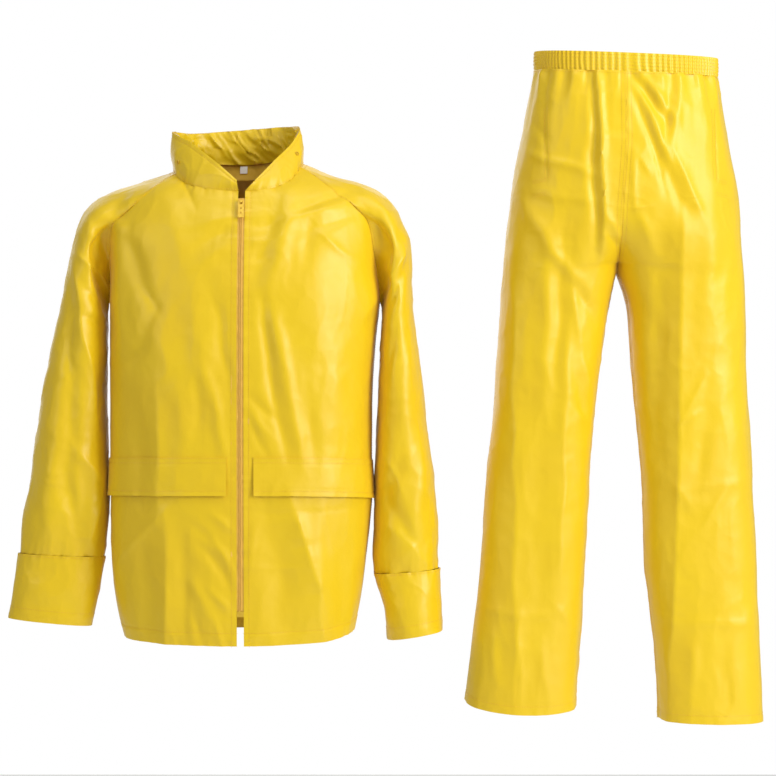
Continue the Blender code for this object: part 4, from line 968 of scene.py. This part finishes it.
sleeves = []
neckPoints = []
for side, front, table, column, neckX in (
    (-1, rightFront, rightSleeveRings, 0, -110),
    (1, leftFront, leftSleeveRings, -1, 101),
):
    frontSeam = front["rows"][armpit:, -1]
    backSeam = back["rows"][armpit:, column]
    over = neckSide(frontSeam[-1], backSeam[-1], neckX)
    seam = np.concatenate((frontSeam, over, backSeam[:0:-1]))
    name = "sleeveRight" if side < 0 else "sleeveLeft"
    sleeves.append(makePiece(name, sleeveRows(table, seam, 11 * fine), closed=True))
    neckPoints.append(over)

collarBase = np.concatenate((
    rightFront["rows"][-1], neckPoints[0], back["rows"][-1], neckPoints[1][::-1], leftFront["rows"][-1][::-1],
))
collar = makePiece("collar", collarRows(collarBase, round(30 * fine)), centre=(0, 0, 30))
joinSeams([rightFront, leftFront, back, *sleeves, collar])
print("jacket pieces laid out")

for number, piece in enumerate((rightFront, leftFront, back)):
    heights = foldHeights(piece, jacketFolds)
    slack = looseness(piece, 3)
    if piece is not back:
        zipAway, _ = edgeDistance(piece, "firstColumn")
        slack *= np.clip(zipAway / 25, 0.05, 1)
        heights *= np.clip(zipAway / 18, 0.0, 1)
        heights += puckers(piece, "firstColumn", 7, 1.1, 12, 5 + number)
        heights += doubled(piece, "firstColumn", 8.5, 0.4)
    heights += slack
    heights += puckers(piece, "lastRow", 8, 1.0, 9, 9 + number)
    heights += doubled(piece, "firstRow", 21) + puckers(piece, "firstRow", 9, 0.9, 26, 12 + number)
    press(piece, heights)
for number, piece in enumerate(sleeves):
    heights = foldHeights(piece, jacketFolds) + looseness(piece, 3, 2.5, 1.1, 0.9, 1.0)
    heights += puckers(piece, "lastRow", 7, 1.8, 16, 15 + number)
    heights += puckers(piece, "firstRow", 9, 0.9, 10, 25 + number)
    press(piece, heights)
heights = foldHeights(collar, jacketFolds) + looseness(collar, 3, 2.2, 1.2, 1.0, 1.0)
heights += puckers(collar, "firstRow", 8, 1.3, 12, 21) + doubled(collar, "lastRow", 6, 0.4)
press(collar, heights)

shown = [wallPiece(rightFront, "suit", (nylon, shadedMatteLining), replaces=["jacket_front_right"]),
         wallPiece(leftFront, "suit", (nylon, shadedMatteLining), replaces=["jacket_front_left"]),
         wallPiece(back, "suit", (nylon, shadedMatteLining), replaces=["jacket_back"]),
         wallPiece(sleeves[0], "suit", (nylon, shadedMatteLining), replaces=["sleeve_right"]),
         wallPiece(sleeves[1], "suit", (nylon, shadedMatteLining), replaces=["sleeve_left"]),
         wallPiece(collar, "suit", (nylon, shadedMatteLining), replaces=["collar"])]

cuffs = []
for name, node, table in (("cuffRight", "cuff_right", rightCuffRings), ("cuffLeft", "cuff_left", leftCuffRings)):
    rows = [ringPoints(row, round(150 * fine)) for row in fillIn(table, 11 * fine)]
    cuff = makePiece(name, rows, closed=True)
    heights = looseness(cuff, 7, 2.0, 1.2, 0.8, 1.0) + doubled(cuff, "lastRow", 20)
    heights += puckers(cuff, "firstRow", 7, 1.6, 12, 31)
    press(cuff, heights)
    cuffs.append(cuff)
    shown.append(wallPiece(cuff, "suit", (nylon, shadedMatteLining), replaces=[node]))

flapLook = {"lift": 2.6, "thick": 1.3, "zipInset": 4, "hem": 8.0, "stitchRows": (1.5, 8.5)}


def layFlap(name, node, front, seed):
    # a pocket flap on its front: sewn along its top, free and slightly lifted below
    first, last = (
        sum(max(1, round(row.steps * jacket["rowDensity"] * fine)) for row in bodyRows[:index]) for index in (3, 4)
    )
    inset = round(flapLook["zipInset"] * fine)
    under = front["rows"][first : last + 1, inset:]
    out = front["normals"][first : last + 1, inset:]
    share = np.linspace(1, 0, last - first + 1)[:, None, None]
    flap = makePiece(name, under + out * (flapLook["thick"] + 0.4 + flapLook["lift"] * share), centre=bodyCentre)
    free, _ = edgeDistance(flap, "lastRow")
    wave = 0.8 + softNoise(flap["rows"], (42, 42, 60), seed)
    ease = np.clip(free / 45, 0, 1)
    heights = 1.5 * wave * ease + puckers(flap, "firstRow", 8, 0.7, 14, seed) * ease
    heights += doubled(flap, "firstRow", flapLook["hem"], 0.4)
    for offset in flapLook["stitchRows"]:
        heights += seamGroove(flap, "lastRow", 0.5, 1.4, offset)
    press(flap, heights)
    shown.append(wallPiece(flap, "suit", (nylon, shadedMatteLining), flapLook["thick"], replaces=[node]))
    return flap


flaps = [layFlap("pocketFlapRight", "pocket_flap_right", rightFront, 41),
         layFlap("pocketFlapLeft", "pocket_flap_left", leftFront, 44)]

hoodLook = {"firstShare": 0.3, "ends": 0.085, "roll": 9.0, "crumple": 4.2}


def crumpleHood():
    # the hood, pushed down inside the back of the collar: one crumpled sheet over its own layers
    rows, normals = collar["rows"], collar["normals"]
    first = round(hoodLook["firstShare"] * (len(rows) - 1))
    ends = round(hoodLook["ends"] * rows.shape[1])
    outside = rows[first:, ends:-ends] - normals[first:, ends:-ends] * (clothThick + 0.5)
    inward = -normals[first:, ends:-ends]
    up = np.linspace(0, 1, len(outside))[:, None]
    along = np.linspace(0, 1, outside.shape[1])[None, :]
    roll = hoodLook["roll"] * np.sin(math.pi * (0.18 + 0.7 * (1 - up))) * np.sin(math.pi * (0.06 + 0.88 * along)) ** 0.5
    large = softNoise(outside, (26, 26, 22), 51)
    slant = outside + np.stack((outside[..., 2] * 0.7, outside[..., 2] * 0, outside[..., 0] * 0.25), axis=-1)
    sharp = softNoise(slant + 8 * large[..., None], (19, 19, 24), 52)
    near = softNoise(slant, (11, 11, 15), 53)
    crease = (1 - np.abs(sharp)) ** 3 - 0.3 + 0.4 * ((1 - np.abs(near)) ** 3 - 0.3)
    depth = np.maximum(roll + hoodLook["crumple"] * (0.5 * large + crease), 1.2)
    hood = makePiece("hoodRoll", outside + inward * depth[..., None], centre=(0, 0, 30))
    hood["normals"] = -inward
    hood["innerRows"] = outside
    return hood


hood = crumpleHood()
hoodShown = dict(hood)
hoodShown["rows"], hoodShown["normals"] = hood["innerRows"], hood["normals"]
hoodWall = hood["innerRows"] - hood["rows"]
# the hood's shown face takes the darker inside nylon: painted shade for the hood tucked down in the collar
shown.append(wallPiece(hoodShown, "suit", (shadedMatteLining, nylon), hoodWall, replaces=["hood_roll"]))
print("jacket cloth done")

legs = []
for name, node, table, isBack in (
    ("trouserFrontRight", "trouser_front_right", rightLegRows, False),
    ("trouserBackRight", "trouser_back_right", rightLegRows, True),
    ("trouserFrontLeft", "trouser_front_left", leftLegRows, False),
    ("trouserBackLeft", "trouser_back_left", leftLegRows, True),
):
    x = 500 if table is rightLegRows else 740
    legs.append(makePiece(name, legRows(table, isBack), centre=(x, 0, -400)))
    legs[-1]["node"] = node
for leg in legs:
    leg["rows"][0][:, 2] = waistHeight(leg["rows"][0][:, 0], leg["rows"][0][:, 1])
joinSeams(legs)
for number, leg in enumerate(legs):
    heights = foldHeights(leg, trouserFolds) + looseness(leg, 5, 2.2, 1.0, 0.8, 2.0)
    away, place = edgeDistance(leg, "firstRow")
    share = place / place.max()
    wave = -np.cos(2 * math.pi * trousers["gathers"] * share)
    finer = softNoise(np.stack((place / 5.5, away / 60, away * 0 + number), axis=-1), (1, 1, 1), 8)
    calm = np.minimum(1, 8 * np.minimum(share, 1 - share)) * (0.3 + 0.7 * np.clip(away / 9, 0, 1))
    heights += (2.6 * wave * np.exp(-away / 45) + 2.6 * finer * np.exp(-away / 34)) * calm
    heights += doubled(leg, "lastRow", 14) + puckers(leg, "lastRow", 9, 0.8, 16, 60 + number)
    heights += doubled(leg, "firstColumn", 8, 0.5) + puckers(leg, "firstColumn", 11, 0.7, 14, 70 + number)
    press(leg, heights)
    shown.append(wallPiece(leg, "suit", (nylon, shadedMatteLining), replaces=[leg["node"]]))

bandRows = []
around = round(trousers["bandGathers"] * 7 * fine)
turns = 2 * math.pi * np.arange(around) / around
for share in np.linspace(0, 1, round(20 * fine) + 1):
    uneven = softNoise(np.stack((turns * 9, turns * 0 + share, turns * 0), axis=-1), (1, 1, 1), 4)
    pinch = 0.55 + 0.45 * abs(math.sin(5 * math.pi * share))
    shirr = -trousers["bandGatherDepth"] * np.cos(turns * trousers["bandGathers"] + uneven * 1.5) * pinch
    swell = 0.7 * math.sin(math.pi * share)
    x = trousers["bandCentreX"] + (trousers["bandHalfWidth"] + swell + shirr) * power(np.cos(turns), boxy)
    y = (trousers["bandDepth"] + swell + shirr) * power(np.sin(turns), boxy)
    bandRows.append(np.column_stack((x, y, waistHeight(x, y) + share * trousers["bandHeight"])))
band = makePiece("waistband", bandRows, closed=True)
shown.append(wallPiece(band, "suit", (nylon, shadedMatteLining), replaces=["waistband"]))
print("trousers done")


zipLook = {"top": -33.0, "bottom": -690.0, "across": (-9.0, -5.0, -2.0, 0.0, 1.5, 3.0, 4.4, 5.3), "behind": 1.3,
           "coilOut": 1.1, "coilApart": 1.3, "coilPitch": 1.7}


def layTape(name, node, front, side):
    # one tape of the zip: sewn under its front, with its bare edge at the coil
    rows, normals = front["rows"], front["normals"]
    kept = (rows[:, 0, 2] <= zipLook["top"]) & (rows[:, 0, 2] >= zipLook["bottom"])
    edge = (rows[:, 0] - normals[:, 3] * zipLook["behind"])[kept]
    away = (rows[:, 5] - rows[:, 0])[kept]
    away /= np.linalg.norm(away, axis=1)[:, None]
    strips = []
    for across in zipLook["across"]:
        strips.append(edge - away * across if across < 0 else edge + np.array((-side * across, 0, 0)))
    tape = makePiece(name, np.stack(strips, axis=1), centre=bodyCentre)
    shown.append(wallPiece(tape, "suit", (zipCloth,), 0.8, replaces=[node]))
    return tape


tapes = [layTape("zipTapeRight", "zip_tape_right", rightFront, -1),
         layTape("zipTapeLeft", "zip_tape_left", leftFront, 1)]
beads = beadTree()
coilLines = []
for number, side in enumerate((-1, 1)):
    line = (tapes[0]["rows"][:, -1] + tapes[1]["rows"][:, -1]) / 2
    line = line + np.array((side * zipLook["coilApart"], -zipLook["coilOut"], 0))
    coilLines.append(line[number:])
shown.append(sewBeads("zipCoil", coilLines, beads, {
    "Pitch": zipLook["coilPitch"] * mm, "Width": 3.4 * mm, "Thickness": 1.9 * mm, "Length": 1.35 * mm,
    "Seed": 1, "Finish": zipCloth}, "suit"))

stitchLook = {"Pitch": 4.2 * mm, "Width": 0.62 * mm, "Thickness": 0.62 * mm, "Length": 3.3 * mm, "Seed": 7}
jacketSeams = []
for front in (rightFront, leftFront):
    jacketSeams += [edgeLine(front, "firstColumn", 8.5), edgeLine(front, "firstRow", 21)]
    jacketSeams += [edgeLine(front, "lastColumn", 2.5, last=armpit)]
jacketSeams.append(edgeLine(back, "firstRow", 21))
for sleeve in sleeves:
    jacketSeams += [edgeLine(sleeve, "firstRow", offset) for offset in (2.0, 7.5)]
for flap in flaps:
    jacketSeams += [edgeLine(flap, "lastRow", offset) for offset in flapLook["stitchRows"]]
    jacketSeams.append(edgeLine(flap, "firstRow", flapLook["hem"]))
for cuff in cuffs:
    jacketSeams += [edgeLine(cuff, "lastRow", 20), edgeLine(cuff, "firstRow", 3)]
jacketSeams += [edgeLine(collar, "lastRow", 6), edgeLine(collar, "firstRow", 3)]
shown.append(sewBeads("jacketStitches", jacketSeams, beads, {**stitchLook, "Finish": thread}, "suit"))

trouserSeams = []
for leg in legs:
    trouserSeams += [edgeLine(leg, "firstColumn", offset) for offset in (2.0, 8.0)]
    trouserSeams += [edgeLine(leg, "lastRow", 14), edgeLine(leg, "firstRow", 3)]
for leg, side in ((legs[0], -1), (legs[2], 1)):
    x = 627.5 + side * 137
    trouserSeams += [drawnLine(leg, ((x, 110), (x, 0))), drawnLine(leg, ((x - side * 6, 110), (x - side * 6, 0)))]
    for z in (-2, -6, -24, -28):
        trouserSeams.append(drawnLine(leg, ((x, z), (x + side * 18, z - 3))))
for height in (4.0, 9.5, 15.0, 20.5, 26.0):
    trouserSeams.append(edgeLine(band, "firstRow", height))
shown.append(sewBeads("trouserStitches", trouserSeams, beads, {**stitchLook, "Finish": thread}, "suit"))
print("zip and stitches done")

# a record for the cut of a sheet before sewing, in metres, all round where it is a tube; no sheet is listed with it
cut = namedtuple("cut", "piece width length area held onPieces")

finishes = {"zip_slider": zinc, "pull_tab": zinc, "zip_box": zinc, "collar_eyelet": zinc, "neck_label": labelCloth}
for name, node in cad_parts.items():
    for start, finish in finishes.items():
        if name.startswith(start):
            for place in node.material_slots:
                place.material = finish

floorLook = {"height": -1.25, "reach": 1.8}
work = bmesh.new()
bmesh.ops.create_grid(work, x_segments=4, y_segments=4, size=floorLook["reach"])
bmesh.ops.translate(work, vec=(0.23, 0, floorLook["height"]), verts=work.verts)
floorMesh = bpy.data.meshes.new("studioFloor")
work.to_mesh(floorMesh)
work.free()
floor = bpy.data.objects.new("studioFloor", floorMesh)
bpy.context.scene.collection.objects.link(floor)
paper, paperTree, paperShader = startMaterial("whitePaper")
paperShader.inputs["Base Color"].default_value = srgb("#f4f4f2")
paperShader.inputs["Roughness"].default_value = 0.9
floorMesh.materials.append(paper)

world = bpy.data.worlds.new("studio")
bpy.context.scene.world = world
world.use_nodes = True
studio = world.node_tree
background = studio.nodes["Background"]
background.inputs["Color"].default_value = (1, 1, 1, 1)
background.inputs["Strength"].default_value = 0.36
sight = addNode(studio, "ShaderNodeLightPath")
white = addNode(studio, "ShaderNodeBackground", {}, {"Color": (1, 1, 1, 1), "Strength": 1.0})
choose = addNode(studio, "ShaderNodeMixShader", {}, {
    0: sight.outputs["Is Camera Ray"], 1: background.outputs[0], 2: white.outputs[0]})
studio.links.new(choose.outputs[0], studio.nodes["World Output"].inputs["Surface"])

softBox = namedtuple("softBox", "name x y z width height watts")
softBoxes = (
    softBox("rightBox", 2.8, -2.2, 0.6, 1.4, 2.2, 84),
    softBox("leftBox", -2.4, -2.6, 0.8, 1.2, 2.0, 15),
    softBox("topBox", 0.5, -1.2, 2.1, 2.4, 1.0, 22),
    softBox("backBox", -0.6, 3.4, 1.0, 4.0, 3.0, 50),
)
for box in softBoxes:
    lamp = bpy.data.lights.new(box.name, "AREA")
    lamp.shape = "RECTANGLE"
    lamp.size, lamp.size_y, lamp.energy = box.width, box.height, box.watts
    holder = bpy.data.objects.new(box.name, lamp)
    bpy.context.scene.collection.objects.link(holder)
    holder.location = (box.x, box.y, box.z)
    aim = Vector((0.24, 0.0, -0.33)) - holder.location
    holder.rotation_euler = aim.to_track_quat("-Z", "Y").to_euler()

lens = bpy.data.cameras.new("camera")
lens.lens = 113.8
camera = bpy.data.objects.new("camera", lens)
bpy.context.scene.collection.objects.link(camera)
camera.location = (0.240, -4.0, -0.336)
camera.rotation_euler = (math.radians(90), 0, 0)
bpy.context.scene.camera = camera
bpy.context.scene.view_settings.view_transform = "Standard"
print("studio set")
